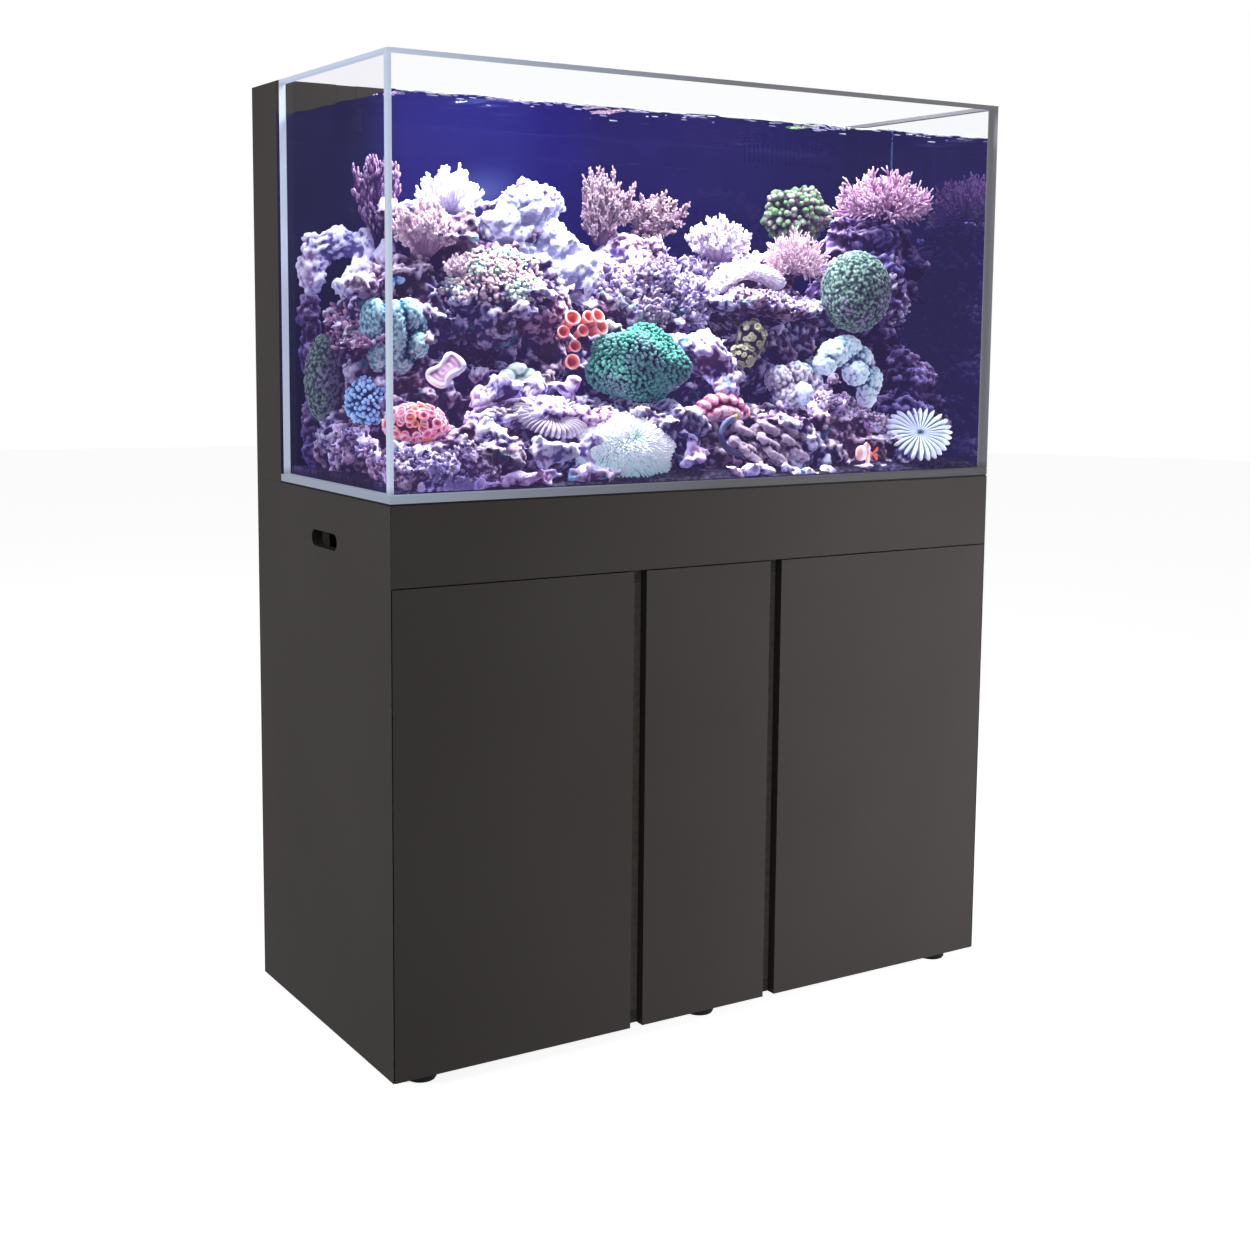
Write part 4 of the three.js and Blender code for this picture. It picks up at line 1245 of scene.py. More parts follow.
def make_reef(palette):
    """Four main rocks, each with its ledges and caves, and then all that stands on them."""
    rocks = {}
    for node, kind, ledges, caves in (
        ("rock_left", "rock", 30, [
            (0.20, 0.34, 0.345, 0.12, 0.08, 0.036), (0.30, 0.36, 0.33, 0.06, 0.07, 0.045),
            (0.0, 0.74, 0.26, 0.060, 0.12, 0.10), (0.02, 0.52, 0.44, 0.06, 0.07, 0.045),
            (0.10, 0.40, 0.52, 0.05, 0.06, 0.03), (0.36, 0.34, 0.24, 0.05, 0.05, 0.03),
            (0.12, 0.30, 0.19, 0.06, 0.05, 0.028), (0.03, 0.42, 0.13, 0.04, 0.06, 0.03),
        ]),
        ("rock_middle", "rock", 26, [
            (0.56, 0.34, 0.41, 0.045, 0.10, 0.040), (0.66, 0.32, 0.435, 0.12, 0.09, 0.022),
            (0.455, 0.36, 0.42, 0.05, 0.07, 0.032), (0.70, 0.28, 0.32, 0.05, 0.07, 0.030),
            (0.60, 0.22, 0.22, 0.07, 0.07, 0.022), (0.80, 0.34, 0.37, 0.06, 0.06, 0.03),
        ]),
        ("rock_right", "dark_rock", 22, [
            (0.96, 0.22, 0.42, 0.07, 0.10, 0.060), (0.86, 0.26, 0.36, 0.05, 0.07, 0.026),
            (1.0, 0.3, 0.30, 0.05, 0.10, 0.04), (1.0, 0.3, 0.62, 0.03, 0.10, 0.05),
        ]),
        ("rock_front", "rock", 26, [
            (0.135, 0.12, 0.14, 0.045, 0.05, 0.022), (0.26, 0.0, 0.03, 0.08, 0.05, 0.03),
            (0.46, 0.0, 0.04, 0.05, 0.06, 0.035), (0.33, 0.10, 0.13, 0.06, 0.05, 0.014),
            (0.80, 0.04, 0.04, 0.08, 0.05, 0.03),
        ]),
    ):
        rocks[node] = make_rock(node + "_crust", with_ledges(node, ledges), palette[kind],
                                caves=lumps_at(*caves), stands_for=(node,))
    make_boulders(palette, rocks)
    make_sand(palette["sand"])
    make_named_corals(palette)
    make_left_corals(palette, rocks)
    make_middle_corals(palette, rocks)
    make_right_corals(palette, rocks)
    make_fishes(palette)


def make_boulders(palette, rocks):
    """Loose boulders and ledges that sit on the main rocks, and knobs and rubble strewn along lines."""
    # The lit copy of the live rock carries painted light to the low rocks and the rubble.
    pale, dark, plain, bright, lit_copy = (
        palette[kind] for kind in ("pale_rock", "dark_rock", "rock", "bright_rock", "live_rock_lit_copy"))

    def add(name, material, swell, lumps):
        pits = min(0.012, 0.004 + swell * 0.4)
        rocks[name] = make_rock(name, lump_mesh(lumps), material, BOULDER_VOXEL, swell, pits)

    for name, material, swell, lumps in (
        ("pale_dome", bright, 0.03, [
            (0.343, 0.74, 0.755, 0.050, 0.045, 0.040), (0.305, 0.74, 0.70, 0.06, 0.05, 0.04),
            (0.27, 0.72, 0.64, 0.05, 0.05, 0.035), (0.33, 0.74, 0.745, 0.048, 0.04, 0.042, 0.045),
            (0.300, 0.74, 0.70, 0.055, 0.04, 0.036, 0.05),
        ]),
        ("pale_slope", bright, 0.035, [
            (0.365, 0.69, 0.655, 0.055, 0.05, 0.045), (0.29, 0.66, 0.60, 0.07, 0.05, 0.045),
            (0.403, 0.61, 0.55, 0.050, 0.045, 0.045), (0.34, 0.60, 0.54, 0.05, 0.04, 0.04),
            (0.43, 0.60, 0.50, 0.04, 0.04, 0.04),
        ]),
        ("big_boulder", plain, 0.035, [
            (0.235, 0.50, 0.475, 0.10, 0.07, 0.078), (0.305, 0.48, 0.455, 0.055, 0.055, 0.055),
            (0.25, 0.52, 0.55, 0.08, 0.05, 0.05),
        ]),
        ("left_arch", pale, 0.016, [
            (0.020, 0.90, 0.560, 0.020, 0.030, 0.042), (0.030, 0.90, 0.620, 0.026, 0.032, 0.034),
            (0.055, 0.86, 0.648, 0.030, 0.032, 0.026), (0.082, 0.78, 0.610, 0.020, 0.028, 0.045),
            (0.070, 0.72, 0.545, 0.026, 0.028, 0.030), (0.048, 0.72, 0.52, 0.024, 0.028, 0.024),
        ]),
        ("left_rim", pale, 0.012,
         [(0.100, 0.68, 0.60, 0.018, 0.02, 0.035), (0.108, 0.68, 0.55, 0.018, 0.02, 0.03)]),
        ("far_left_rock", dark, 0.02, [
            (0.022, 0.94, 0.44, 0.022, 0.02, 0.045), (0.024, 0.94, 0.33, 0.020, 0.02, 0.040),
            (0.022, 0.94, 0.14, 0.020, 0.02, 0.045), (0.03, 0.90, 0.04, 0.03, 0.03, 0.03),
        ]),
        ("lilac_ridge", plain, 0.03, [
            (0.45, 0.54, 0.50, 0.055, 0.045, 0.045), (0.505, 0.51, 0.515, 0.05, 0.045, 0.055),
            (0.545, 0.45, 0.475, 0.045, 0.045, 0.05), (0.48, 0.46, 0.455, 0.05, 0.04, 0.035),
        ]),
        ("right_ledge", dark, 0.03,
         [(0.905, 0.42, 0.70, 0.072, 0.06, 0.042), (0.955, 0.44, 0.62, 0.040, 0.06, 0.045)]),
        ("right_knobs", dark, 0.03,
         [(0.885, 0.36, 0.55, 0.045, 0.045, 0.035), (0.90, 0.34, 0.46, 0.04, 0.04, 0.03)]),
        ("right_shelf", dark, 0.03,
         [(0.93, 0.28, 0.25, 0.065, 0.07, 0.035), (0.90, 0.2, 0.16, 0.06, 0.05, 0.035)]),
        ("middle_ledge", plain, 0.024, [
            (0.645, 0.40, 0.49, 0.10, 0.06, 0.024), (0.745, 0.38, 0.465, 0.09, 0.055, 0.022),
            (0.80, 0.38, 0.445, 0.06, 0.05, 0.022),
        ]),
        ("front_ledge", lit_copy, 0.024,
         [(0.24, 0.26, 0.165, 0.11, 0.06, 0.03), (0.34, 0.22, 0.15, 0.07, 0.05, 0.025)]),
        ("corner_block", lit_copy, 0.022, [
            (0.070, 0.06, 0.030, 0.055, 0.026, 0.026), (0.115, 0.08, 0.055, 0.040, 0.030, 0.028),
            (0.140, 0.06, 0.020, 0.036, 0.024, 0.020), (0.03, 0.10, 0.03, 0.035, 0.04, 0.03),
            (0.05, 0.045, -0.005, 0.05, 0.022, 0.018), (0.12, 0.045, -0.005, 0.050, 0.022, 0.018),
            (0.085, 0.030, -0.012, 0.10, 0.016, 0.014),
        ]),
    ):
        add(name, material, swell, lumps_at(*lumps))
    for name, material, swell, count, low, high, spread, seed, path in (
        ("middle_knobs", lit_copy, 0.014, 22, 0.014, 0.030, 0.016, 81, [
            (0.52, 0.36, 0.38), (0.56, 0.30, 0.33), (0.56, 0.28, 0.27), (0.60, 0.28, 0.22),
        ]),
        ("pale_knobs", pale, 0.010, 60, 0.005, 0.012, 0.010, 82, [
            (0.150, 0.16, 0.155), (0.178, 0.13, 0.105), (0.236, 0.08, 0.070), (0.285, 0.06, 0.060),
            (0.318, 0.10, 0.11),
        ]),
        ("terrace_knobs", lit_copy, 0.010, 50, 0.006, 0.014, 0.012, 83, [
            (0.165, 0.24, 0.20), (0.20, 0.26, 0.23), (0.26, 0.28, 0.235), (0.34, 0.26, 0.22),
        ]),
        ("bed_knobs", lit_copy, 0.005, 50, 0.005, 0.011, 0.010, 84, [
            (0.42, 0.14, 0.09), (0.46, 0.16, 0.15), (0.50, 0.12, 0.06), (0.46, 0.05, 0.035),
        ]),
        ("right_rubble", lit_copy, 0.008, 44, 0.008, 0.017, 0.011, 85, [
            (0.70, 0.18, 0.16), (0.76, 0.20, 0.20), (0.82, 0.18, 0.15), (0.86, 0.16, 0.08),
        ]),
        ("left_rubble", lit_copy, 0.008, 60, 0.008, 0.018, 0.012, 86, [
            (0.03, 0.80, 0.05), (0.025, 0.60, 0.07), (0.03, 0.42, 0.09), (0.02, 0.22, 0.05),
            (0.03, 0.1, 0.02),
        ]),
        ("front_rubble", lit_copy, 0.008, 60, 0.005, 0.011, 0.008, 87, [
            (0.12, 0.03, -0.01), (0.20, 0.04, 0.0), (0.30, 0.05, 0.01), (0.36, 0.04, 0.0),
        ]),
        ("clam_rubble", lit_copy, 0.008, 60, 0.005, 0.010, 0.008, 88, [
            (0.51, 0.04, 0.01), (0.60, 0.03, -0.01), (0.70, 0.03, -0.01), (0.84, 0.05, -0.01),
        ]),
    ):
        add(name, material, swell, scattered(path, count, low, high, spread, seed))


def make_sand(material):
    """Dark sand, level in the main and sloping down to the front pane."""
    low, high = SAND
    x, y = grid(low, high, 220, 80)
    rng = np.random.default_rng(3)
    slope = np.clip((y - low.y) / 0.045, 0.0, 1.0) ** 0.7
    height = low.z + 0.002 + (high.z - low.z - 0.002) * slope
    height += slope * (0.004 * np.sin(x * 11) * np.cos(y * 17) + rng.normal(0, 0.0007, x.shape))
    top = np.stack([x, y, height], axis=-1)
    bottom = top.copy()
    bottom[..., 2] = low.z
    soup = Soup()
    soup.add_slab(top, bottom, rng.uniform(0, 1, x.size), np.zeros(x.size))
    return place_piece("sand", soup.mesh("sand"), material, stands_for=("sand_bed",))


FINGERS = Growth(stems=80, levels=1, split=6, radius=0.034, spread=0.55, fan=1.5, lift=0.05, shrink=0.30,
                 taper=0.95, zone=0.55)
ACROPORA = Growth(stems=150, levels=1, split=11, radius=0.017, spread=1.0, fan=1.62, lift=0.0, rise=0.25,
                  shrink=0.22, taper=0.85, zone=0.45)
TREE = Growth(stems=17, levels=2, split=13, radius=0.046, spread=1.25, fan=0.85, rise=0.25, shrink=0.30,
              taper=0.72, thin=0.8, zone=0.12)
BRUSH = Growth(stems=16, levels=2, split=11, radius=0.034, spread=0.8, fan=0.7, rise=0.4, shrink=0.28,
               taper=0.85, zone=0.15)
NUBBY = Growth(stems=44, levels=2, split=8, radius=0.044, spread=0.95, fan=1.4, rise=0.25, shrink=0.30,
               taper=0.85, zone=0.4)


def make_named_corals(palette):
    """The corals that are nodes of the frame, each inside its own box."""
    FINGERS.make("finger_coral_branches", palette["white"], "coral_white", *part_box("finger_coral"), 11,
                 stands_for=("finger_coral",))
    low, high = (np.array(corner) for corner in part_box("table_acropora"))
    ACROPORA.make("table_acropora_branches", palette["pink"], "coral_pink", low - [0.004, 0.004, 0.002],
                  high + [0.014, 0.006, 0.006], 12, stands_for=("table_acropora",))
    low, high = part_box("tree_coral")
    middle = low.x + (high.x - low.x) * 0.5
    TREE.make("tree_coral_tall", palette["tan"], "coral_pink", low, (middle, high.y, high.z), 13,
              stands_for=("tree_coral",))
    TREE.make("tree_coral_low", palette["tan"], "coral_pink", (middle - 0.03, low.y, low.z),
              (high.x, high.y, low.z + (high.z - low.z) * 0.72), 14)
    low, high = (np.array(corner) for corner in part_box("green_dome"))
    lobed("green_dome_folds", palette["moss"], [
        ((low + high) / 2, (high - low) / 2 * 0.95), (low * 0.6 + high * 0.4, (high - low) * 0.36),
    ], 0.0022, 0.0075, 0.0045, 0.0030, stands_for=("green_dome",))
    for node, kind, slot, count, size, polyp, sides, wobble in (
        ("green_mound", "green", "coral_green", 1900, 0.0054, BUD, 8, 0.10),
        ("orange_zoanthids", "buttons", "coral_orange", 150, 0.0078, BUTTON, 12, 0.06),
    ):
        low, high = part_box(node)
        polyp_dome(node + "_polyps", palette[kind], (low + high) / 2, (high - low) / 2, count, size,
                   polyp, count % 17, sides, wobble, (node,))
    make_brain_coral(palette["brain"])
    make_carpet_anemone(palette["mint"])
    make_clam(palette["mauve"])


def make_brain_coral(material):
    center, half = center_and_half("brain_coral")
    lobes = [
        (center + half * place, half * size) for place, size in (
            ((-0.55, 0.0, 0.35), (0.36, 0.6, 0.58)), ((-0.15, -0.45, 0.10), (0.30, 0.45, 0.80)),
            ((0.25, -0.40, 0.50), (0.40, 0.5, 0.44)), ((0.62, 0.0, 0.25), (0.34, 0.6, 0.5)),
            ((0.42, -0.42, -0.22), (0.40, 0.5, 0.38)), ((-0.58, -0.1, -0.45), (0.36, 0.5, 0.48)),
            ((0.02, -0.2, -0.62), (0.44, 0.5, 0.34)), ((0.0, 0.3, 0.0), (0.7, 0.6, 0.9)),
        )
    ]
    lobed("brain_coral_lobes", material, lobes, 0.0026, 0.006, 0.004, 0.0015,
          stands_for=("brain_coral",))


def make_carpet_anemone(material):
    """A tilted cushion of tentacles that sweep away from a bare mouth, a little larger than its CAD solid."""
    center, half = center_and_half("carpet_anemone")
    center, half = center - [0.007, 0, 0.008], half + [0.005, 0, 0.011]
    rng = np.random.default_rng(21)
    count = 2600
    out = dome_points(count, -0.8)
    turn = np.arctan2(out[:, 2], out[:, 0])
    fold = 1 + 0.05 * np.sin(turn * 8) * (1 - np.clip(-out[:, 1], 0, 1) ** 2)
    normals = unit(out / half)
    points = center + out * half * fold[:, None] * 0.9
    mouth_spot = unit([0.0, -0.86, 0.5])
    nearness = np.exp(-(np.arccos(np.clip((out * mouth_spot).sum(1), -1, 1)) / 0.13) ** 2)
    sweep = unit(out - mouth_spot * (out * mouth_spot).sum(1, keepdims=True) + 1e-9)
    bend = unit(normals * 0.6 + sweep * 0.9 + rng.normal(0, 0.35, (count, 3)))
    length = 0.012 * rng.uniform(0.7, 1.25, (count, 1, 1)) * (1 - 0.6 * nearness)[:, None, None]
    paths = curled(points, normals, bend, length, 4)
    radii = np.tile(np.array([0.0021, 0.0020, 0.0018, 0.0015]), (count, 1))
    # Painted light: the tentacles are paler on top and towards the front; they are darker by the mouth.
    light = np.clip(0.62 + 0.55 * out[:, 2] - 0.25 * out[:, 1] - 0.75 * nearness, 0.05, 1)[:, None]
    tips = np.clip(np.array([[0.15, 0.5, 0.8, 1.0]]) * light + 0.12 * light, 0, 1)
    soup = Soup()
    tubes(soup, paths, radii, 5, tips)
    # A dark ball under the tentacles: painted shade between them.
    verts, faces = ball()
    soup.add(center + verts * half * 0.9, [faces], np.full(len(verts), 0.12))
    return place_piece("carpet_anemone_tentacles", soup.mesh("anemone"), material,
                       stands_for=("carpet_anemone",))


def make_clam(material):
    """Thick curled folds: each row of the mantle winds up and down and doubles back on itself."""
    center, half = center_and_half("ruffled_clam")
    rng = np.random.default_rng(25)
    lumps = [(center + half * [0, 0.45, -0.1], half * [0.82, 0.5, 0.62])]
    for out, up, waves, width in ((-0.60, -0.56, 2.7, 0.84), (-0.46, 0.02, 3.1, 0.92),
                                  (-0.10, 0.56, 2.6, 0.78)):
        t = np.linspace(0, 1, int(waves * 22))
        turn = 2 * math.pi * waves * t + rng.uniform(0, 6)
        swing = 1 + 0.3 * np.sin(turn * 0.37 + up)
        across = width * (2 * t - 1 + 0.11 * np.sin(2 * turn) * swing)
        rise = up - 0.25 * np.abs(across) ** 2 * np.sign(up) + 0.30 * np.sin(turn) * swing
        depth = out + 0.30 * across ** 2 + 0.16 * np.cos(turn)
        lumps += [(center + half * place, np.array([0.0080, 0.011, 0.0078]) * rng.uniform(0.93, 1.10))
                  for place in np.stack([across, depth, rise], axis=1)]
    lobed("clam_mantle", material, lumps, 0.0018, 0.009, 0.0018, 0.0014,
          stands_for=("ruffled_clam",))


def make_left_corals(palette, rocks):
    BRUSH.make("purple_bush", palette["purple"], "coral_pink",
               *around(spot(0.105, 0.76, 0.755), (0.085, 0.08, 0.165)), 31)
    NUBBY.make("peach_bush", palette["peach"], "coral_pink",
               *around(spot(0.14, 0.54, 0.685), (0.125, 0.09, 0.10)), 32)
    polyp_dome("blue_ball", palette["blue"], spot(0.040, 0.49, 0.206), (0.033, 0.034, 0.042),
               300, 0.0055, BUD, 5)
    lobed("side_dome", palette["moss"], lumps_at(
        (0.026, 0.84, 0.25, 0.027, 0.038, 0.068), (0.030, 0.84, 0.30, 0.022, 0.03, 0.05),
    ), 0.0022, 0.0075, 0.004, 0.003)
    make_pink_plate(palette["blossom"])
    lobed("pale_green_lobes", palette["pistachio"], lumps_at(
        (0.24, 0.40, 0.272, 0.016, 0.014, 0.012, 0.03), (0.256, 0.40, 0.288, 0.018, 0.014, 0.012, 0.03),
        (0.272, 0.40, 0.27, 0.017, 0.014, 0.013, 0.03), (0.258, 0.40, 0.258, 0.018, 0.013, 0.010, 0.03),
    ), 0.002, 0.014, 0.003)
    lobed("teal_sponge", palette["blue"], lumps_at(
        (0.085, 0.56, 0.53, 0.012, 0.012, 0.016), (0.104, 0.56, 0.545, 0.016, 0.012, 0.014),
        (0.118, 0.56, 0.535, 0.014, 0.012, 0.010),
    ), 0.0022, 0.009, 0.003)
    pleated("ridged_plate", palette["cream"], spot(0.265, 0.16, 0.168), (0.1, -0.70, 0.70),
            0.068, 0.62, 40, 0.0018, 0.010)
    grow_polyps("mass_polyps", palette["crust"], rocks["big_boulder"], spot(0.12, 0, 0.48),
                spot(0.30, 1, 0.75), 700, 0.0054, BUD, 33)
    NUBBY.make("mass_bush", palette["peach"], "coral_pink",
               *around(spot(0.185, 0.46, 0.575), (0.09, 0.05, 0.05)), 37)
    grow_nubs("pink_tuft", palette["pink"], rocks["rock_left"], spot(0, 0, 0.34),
              spot(0.06, 1, 0.47), 170, 0.012, 0.0030, 38, facing=(-0.7, -0.6, 0.4), clumps=3)
    grow_nubs("left_nubs", palette["lilac"], rocks["left_rubble"], spot(0, 0, 0.0),
              spot(0.2, 1, 0.3), 260, 0.008, 0.0032, 34, facing=(-0.7, -0.6, 0.4))
    grow_nubs("corner_nubs", palette["lilac"], rocks["corner_block"], spot(0.0, 0, 0.0),
              spot(0.2, 1, 0.2), 260, 0.006, 0.0030, 36, facing=(-0.4, -0.7, 0.5))


def make_pink_plate(material):
    """A flat plate with a waist, its rim curled up all round."""
    heart = spot(0.126, 0.30, 0.286)
    along = unit([0.78, 0.0, 0.62])
    facing = unit([-0.40, -0.85, 0.42])
    normal = unit(facing - along * (facing * along).sum())
    across = np.cross(along, normal)
    turn = np.linspace(0, 2 * math.pi, 44, endpoint=False)
    reach, width = 0.029 * np.cos(turn), np.sin(turn) * (0.011 + 0.022 * np.cos(turn) ** 2)
    flat = [(heart + along * a * share + across * w * share, (0.0085, 0.0075, 0.0085))
            for share in (0.0, 0.35, 0.7) for a, w in zip(reach, width)]
    rim = [(heart + along * a + across * w + normal * (0.005 + 0.0015 * math.sin(5 * k)),
            (0.0052, 0.0052, 0.0052))
           for a, w, k in zip(reach, width, turn)]
    lobed("pink_plate", material, flat + rim, 0.0016, 0.03, 0.001)


def make_middle_corals(palette, rocks):
    NUBBY.make("cream_bush", palette["cream"], "coral_white",
               *around(spot(0.647, 0.59, 0.688), (0.135, 0.09, 0.09)), 41)
    cup_cluster("orange_tubes", palette["orange"], spot(0.344, 0.34, 0.365))
    grow_nubs("ridge_nubs", palette["lilac"], rocks["lilac_ridge"], spot(0.38, 0, 0.40),
              spot(0.60, 1, 0.72), 900, 0.014, 0.0036, 42, curl=0.8)
    grow_nubs("ridge_side_nubs", palette["lilac"], rocks["rock_middle"], spot(0.50, 0, 0.48),
              spot(0.66, 1, 0.72), 500, 0.012, 0.0036, 43)
    polyp_dome("polyp_cluster", palette["shaded"], nearer(spot(0.662, 0.40, 0.380), 0.045),
               (0.028, 0.03, 0.034), 80, 0.0060, STALK, 44, 12, wobble=0.12)
    polyp_dome("polyp_cluster_low", palette["shaded"], nearer(spot(0.640, 0.38, 0.325), 0.045),
               (0.026, 0.026, 0.022), 56, 0.0060, STALK, 46, 12, wobble=0.12)
    plate = lobed("white_plate_body", palette["cream"], arc(
        [spot(0.592, 0.42, 0.515), spot(0.615, 0.42, 0.560), spot(0.650, 0.42, 0.585),
         spot(0.685, 0.42, 0.575), spot(0.712, 0.42, 0.545)], (0.022, 0.026, 0.014), 15),
        0.0026, 0.009, 0.004, 0.002)
    grow_nubs("white_plate", palette["white"], plate, spot(0.5, 0, 0.5), spot(0.8, 1, 0.7),
              700, 0.006, 0.0019, 47, facing=(-0.1, -0.5, 0.8), clumps=0)
    lobed("red_crescent", palette["rose"], arc(
        [spot(0.515, 0.2, 0.150), spot(0.520, 0.2, 0.185), spot(0.555, 0.2, 0.205),
         spot(0.588, 0.2, 0.190), spot(0.598, 0.2, 0.155)], (0.015, 0.018, 0.013), 9) + arc(
        [spot(0.530, 0.18, 0.155), spot(0.555, 0.17, 0.172), spot(0.582, 0.18, 0.155)],
        (0.014, 0.016, 0.012), 6),
        0.002, 0.014, 0.003)


def cup_cluster(name, material, center):
    """A handful of open tube corals that look out at the front pane, each (across, up, tilt)."""
    rng = np.random.default_rng(51)
    soup = Soup()
    for dx, dz, tilt in ((-0.020, 0.032, 0.30), (0.010, 0.038, 0.2), (-0.034, 0.014, 0.1),
                         (0.000, 0.016, 0.12),
                         (0.030, 0.020, 0.1), (-0.014, -0.008, 0.0), (0.024, 0.036, 0.3),
                         (-0.020, -0.034, -0.1)):
        root = np.array(center) + [dx, 0.0, dz]
        axis = unit([dx * 8, -1.0, 0.25 + tilt])
        turned(soup, root - axis * 0.012, axis, 0.0125 * rng.uniform(0.8, 1.15), TUBE, 24)
    return place_piece(name, soup.mesh(name), material)


def make_right_corals(palette, rocks):
    polyp_dome("top_polyps", palette["olive"], spot(0.823, 0.69, 0.775), (0.066, 0.05, 0.05),
               270, 0.0092, BUD, 9, 10, wobble=0.12)
    ACROPORA.make("pink_bush", palette["peach"], "coral_pink",
                  *around(spot(0.756, 0.45, 0.640), (0.145, 0.1, 0.105)), 61)
    lobed("frosted_cauliflower", palette["frost"], lumps_at(
        (0.775, 0.23, 0.335, 0.032, 0.028, 0.026), (0.80, 0.24, 0.355, 0.030, 0.028, 0.022),
        (0.760, 0.24, 0.305, 0.022, 0.026, 0.022), (0.825, 0.23, 0.315, 0.026, 0.026, 0.026),
        (0.805, 0.19, 0.275, 0.026, 0.024, 0.024), (0.838, 0.20, 0.250, 0.022, 0.024, 0.030),
        (0.828, 0.19, 0.205, 0.018, 0.022, 0.024),
    ), 0.0024, 0.008, 0.005, 0.002)
    lobed("pink_brain", palette["shell_pink"], lumps_at(
        (0.69, 0.30, 0.255, 0.028, 0.028, 0.026), (0.72, 0.29, 0.27, 0.030, 0.028, 0.024),
        (0.745, 0.29, 0.235, 0.024, 0.028, 0.028), (0.70, 0.27, 0.205, 0.032, 0.026, 0.028),
    ), 0.0024, 0.008, 0.006, 0.002)
    lobed("teal_center", palette["frost"], lumps_at(
        (0.715, 0.23, 0.215, 0.020, 0.018, 0.020), (0.725, 0.23, 0.185, 0.018, 0.016, 0.016),
    ), 0.0024, 0.007, 0.005, 0.001)
    pleated("white_flower", palette["petal"], spot(0.895, 0.05, 0.092), (-0.30, -0.80, 0.50),
            0.056, 0.86, 26, 0.0034, 0.012, 0.12)
    grow_nubs("right_nubs", palette["lilac"], rocks["right_rubble"], spot(0.66, 0, 0.02),
              spot(0.90, 1, 0.27), 320, 0.007, 0.0032, 62)
    grow_nubs("ledge_nubs", palette["lilac"], rocks["middle_ledge"], spot(0.58, 0, 0.4),
              spot(0.88, 1, 0.6), 260, 0.006, 0.0032, 63)
    grow_nubs("column_nubs", palette["lilac"], rocks["right_knobs"], spot(0.80, 0, 0.4),
              spot(1, 1, 0.62), 320, 0.014, 0.0034, 64)
    make_bubbles(palette["blue"])


def make_bubbles(material):
    """A thread of bubbles that rises from the table coral to the surface."""
    foot = spot(0.894, 0.28, 0.93)
    rise = np.linspace(-0.02, WATER_TOP - foot[2] - 0.004, 44)
    centers = [foot + [0.001 * math.sin(step * 2.1), 0.001 * math.cos(step * 1.3), up]
               for step, up in enumerate(rise)]
    soup = Soup()
    soup.add_balls(centers, np.full(len(centers), 0.0008), 0.15)
    place_piece("bubbles", soup.mesh("bubbles"), material)


def make_fishes(palette):
    spine = [spot(0.56, 0.10, 0.155), spot(0.538, 0.10, 0.135), spot(0.528, 0.09, 0.10),
             spot(0.533, 0.08, 0.066), spot(0.553, 0.08, 0.043), spot(0.585, 0.08, 0.035)]
    make_fish("blue_blenny", palette["fish_blue"], spine, 0.012, 0.009,
              [(0.12, 0.9, 0.006, 0.001), (0.4, 0.92, -0.005, 0.001)], reverse=True)
    spine = [spot(0.768, 0.045, 0.035), spot(0.785, 0.05, 0.033), spot(0.805, 0.06, 0.03)]
    make_fish("clownfish", palette["fish_orange"], spine, 0.027, 0.012,
              [(0.2, 0.75, 0.019, 0.004), (0.45, 0.8, -0.018, 0.004), (0.9, 1.0, 0.012, 0.013),
               (0.9, 1.0, -0.012, 0.013)])


# ---------- cabinet and equipment ----------
def dress_cabinet():
    """Better materials for the CAD nodes that keep their shape, by their slot."""
    black = plastic_material("black_plastic", (0.010, 0.010, 0.011), (0.018, 0.018, 0.019), 0.45)
    by_slot = {
        "cabinet_lacquer": two_tone(
            "anthracite_lacquer", (2.5, 3), [(0.3, 0.056, 0.049, 0.048), (0.7, 0.064, 0.0565, 0.056)], 0.45,
            (0.05, 0.0006), (420, 2), IOR=1.5, Specular_IOR_Level=0.35),
        "carcass_board": board_material(
            "carcass_board", 160, (0.020, 0.019, 0.018), (0.048, 0.045, 0.043), 0.5),
        "hinge_steel": two_tone(
            "nickel_steel", (300, 3), [(0.3, 0.5, 0.5, 0.51), (0.7, 0.66, 0.66, 0.67)], 0.28,
            (0.05, 0.0003), metallic=1.0),
        "black_plastic": black,
        "grey_pipe": plastic_material("grey_pipe", (0.085, 0.086, 0.09), (0.12, 0.12, 0.125), 0.35, 0.4),
        "red_plastic": plastic_material("red_plastic", (0.42, 0.02, 0.015), (0.5, 0.035, 0.02), 0.35, 0.3),
        "clear_acrylic": clear_material("acrylic", (0.90, 0.95, 0.97), 0.03, 0.03),
        "foam": foam_material(),
    }
    for entry in frame["record"]["subparts"]:
        if entry["material_slot"] in by_slot:
            dress(entry["node"], by_slot[entry["material_slot"]])
    dress("return_pipe", black)
    # The grip posts: a lighter board that glows a little, partly their own colour, partly painted light in
    # the recess.
    for node in ("left_post", "right_post"):
        dress(node, board_material("grip_post_board", 110, (0.10, 0.088, 0.075), (0.17, 0.15, 0.13), 0.12))


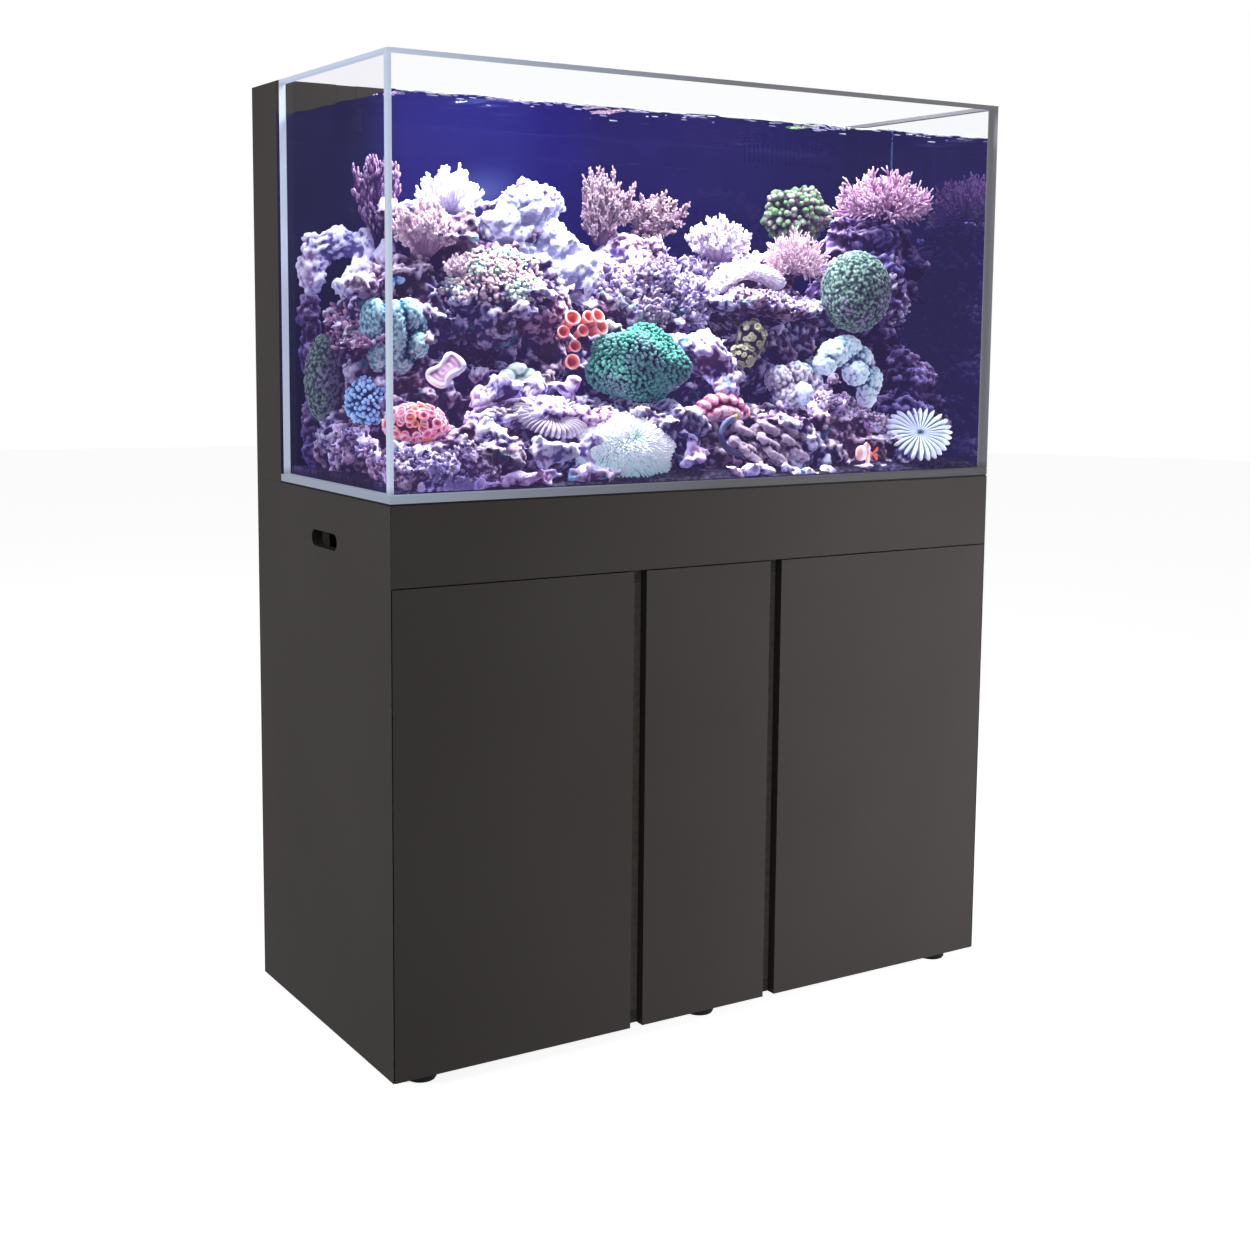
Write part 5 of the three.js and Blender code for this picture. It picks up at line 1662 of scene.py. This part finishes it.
# ---------- floor, light and camera ----------
def make_stage():
    """A white floor and a white backdrop all round. Neither lights the aquarium or shades it."""
    paper = principled(Shader("pale_floor"), (0.85, 0.85, 0.85), 0.9, emission=(1, 1, 1), glow=0.82)
    white = Shader("white_backdrop")
    backdrop = white.finish(white.add("Emission", {"Color": (1, 1, 1, 1), "Strength": 1.0}).outputs[0])
    floor, dome = bmesh.new(), bmesh.new()
    bmesh.ops.create_grid(floor, x_segments=1, y_segments=1, size=STAGE_SIZE)
    bmesh.ops.create_icosphere(dome, subdivisions=4, radius=STAGE_SIZE)
    for name, shape, material in (("floor", floor, paper), ("backdrop", dome, backdrop)):
        piece = linked(name, from_bmesh(shape, name))
        piece.data.materials.append(material)
        piece.visible_diffuse = False
        piece.visible_glossy = False
        piece.visible_shadow = False


def area_light(name, place, target, size, power, color=(1, 1, 1), spread=180):
    data = bpy.data.lights.new(name, "AREA")
    data.shape = "RECTANGLE"
    data.size, data.size_y = size
    data.energy = power
    data.color = color
    data.spread = math.radians(spread)
    lamp = linked(name, data)
    lamp.location = place
    lamp.rotation_euler = (Vector(target) - Vector(place)).to_track_quat("-Z", "Y").to_euler()
    lamp.visible_camera = False
    lamp.visible_glossy = False


def make_lights():
    """A soft white room, a lamp for the left side, one for the cabinet's front, and the reef's above."""
    scene = bpy.context.scene
    scene.view_settings.view_transform = "Standard"
    scene.world = bpy.data.worlds.new("studio")
    scene.world.use_nodes = True
    background = scene.world.node_tree.nodes["Background"].inputs
    background["Color"].default_value = (1, 1, 1, 1)
    background["Strength"].default_value = 0.165
    area_light("left_light", (-4.0, 0.5, 1.5), (-0.6, 0, 0.8), (2.0, 2.2), power=87)
    area_light("front_light", (2.0, -2.3, 0.5), (0.5, -0.28, 0.5), (0.6, 1.0), power=17, spread=80)
    middle = (WATER_LOW + WATER_HIGH) / 2
    area_light("reef_light", (middle.x, middle.y - 0.05, FRONT_PANE[1].z + 0.25), (middle.x, middle.y, 1.0),
               (1.0, 0.3), power=47, color=(0.90, 0.92, 1.0))


def make_camera():
    """The photograph's viewpoint, as fitted to the corners of the tank and the cabinet."""
    turn, tilt, roll = (math.radians(angle) for angle in CAMERA_TURN)
    look = Vector((math.sin(turn) * math.cos(tilt), math.cos(turn) * math.cos(tilt), -math.sin(tilt)))
    right = look.cross(Vector((0, 0, 1))).normalized()
    up = right.cross(look)
    right, up = math.cos(roll) * right + math.sin(roll) * up, math.cos(roll) * up - math.sin(roll) * right
    data = bpy.data.cameras.new("camera")
    data.sensor_width = 36
    data.lens = CAMERA_LENS
    data.shift_y = CAMERA_SHIFT
    camera = linked("camera", data)
    axes = Matrix((right, up, -look)).transposed().to_4x4()
    camera.matrix_world = Matrix.Translation(CAMERA_PLACE) @ axes
    bpy.context.scene.camera = camera


make_camera()
make_stage()
make_lights()
dress_cabinet()
PALETTE = reef_palette()
make_tank(PALETTE)
make_reef(PALETTE)
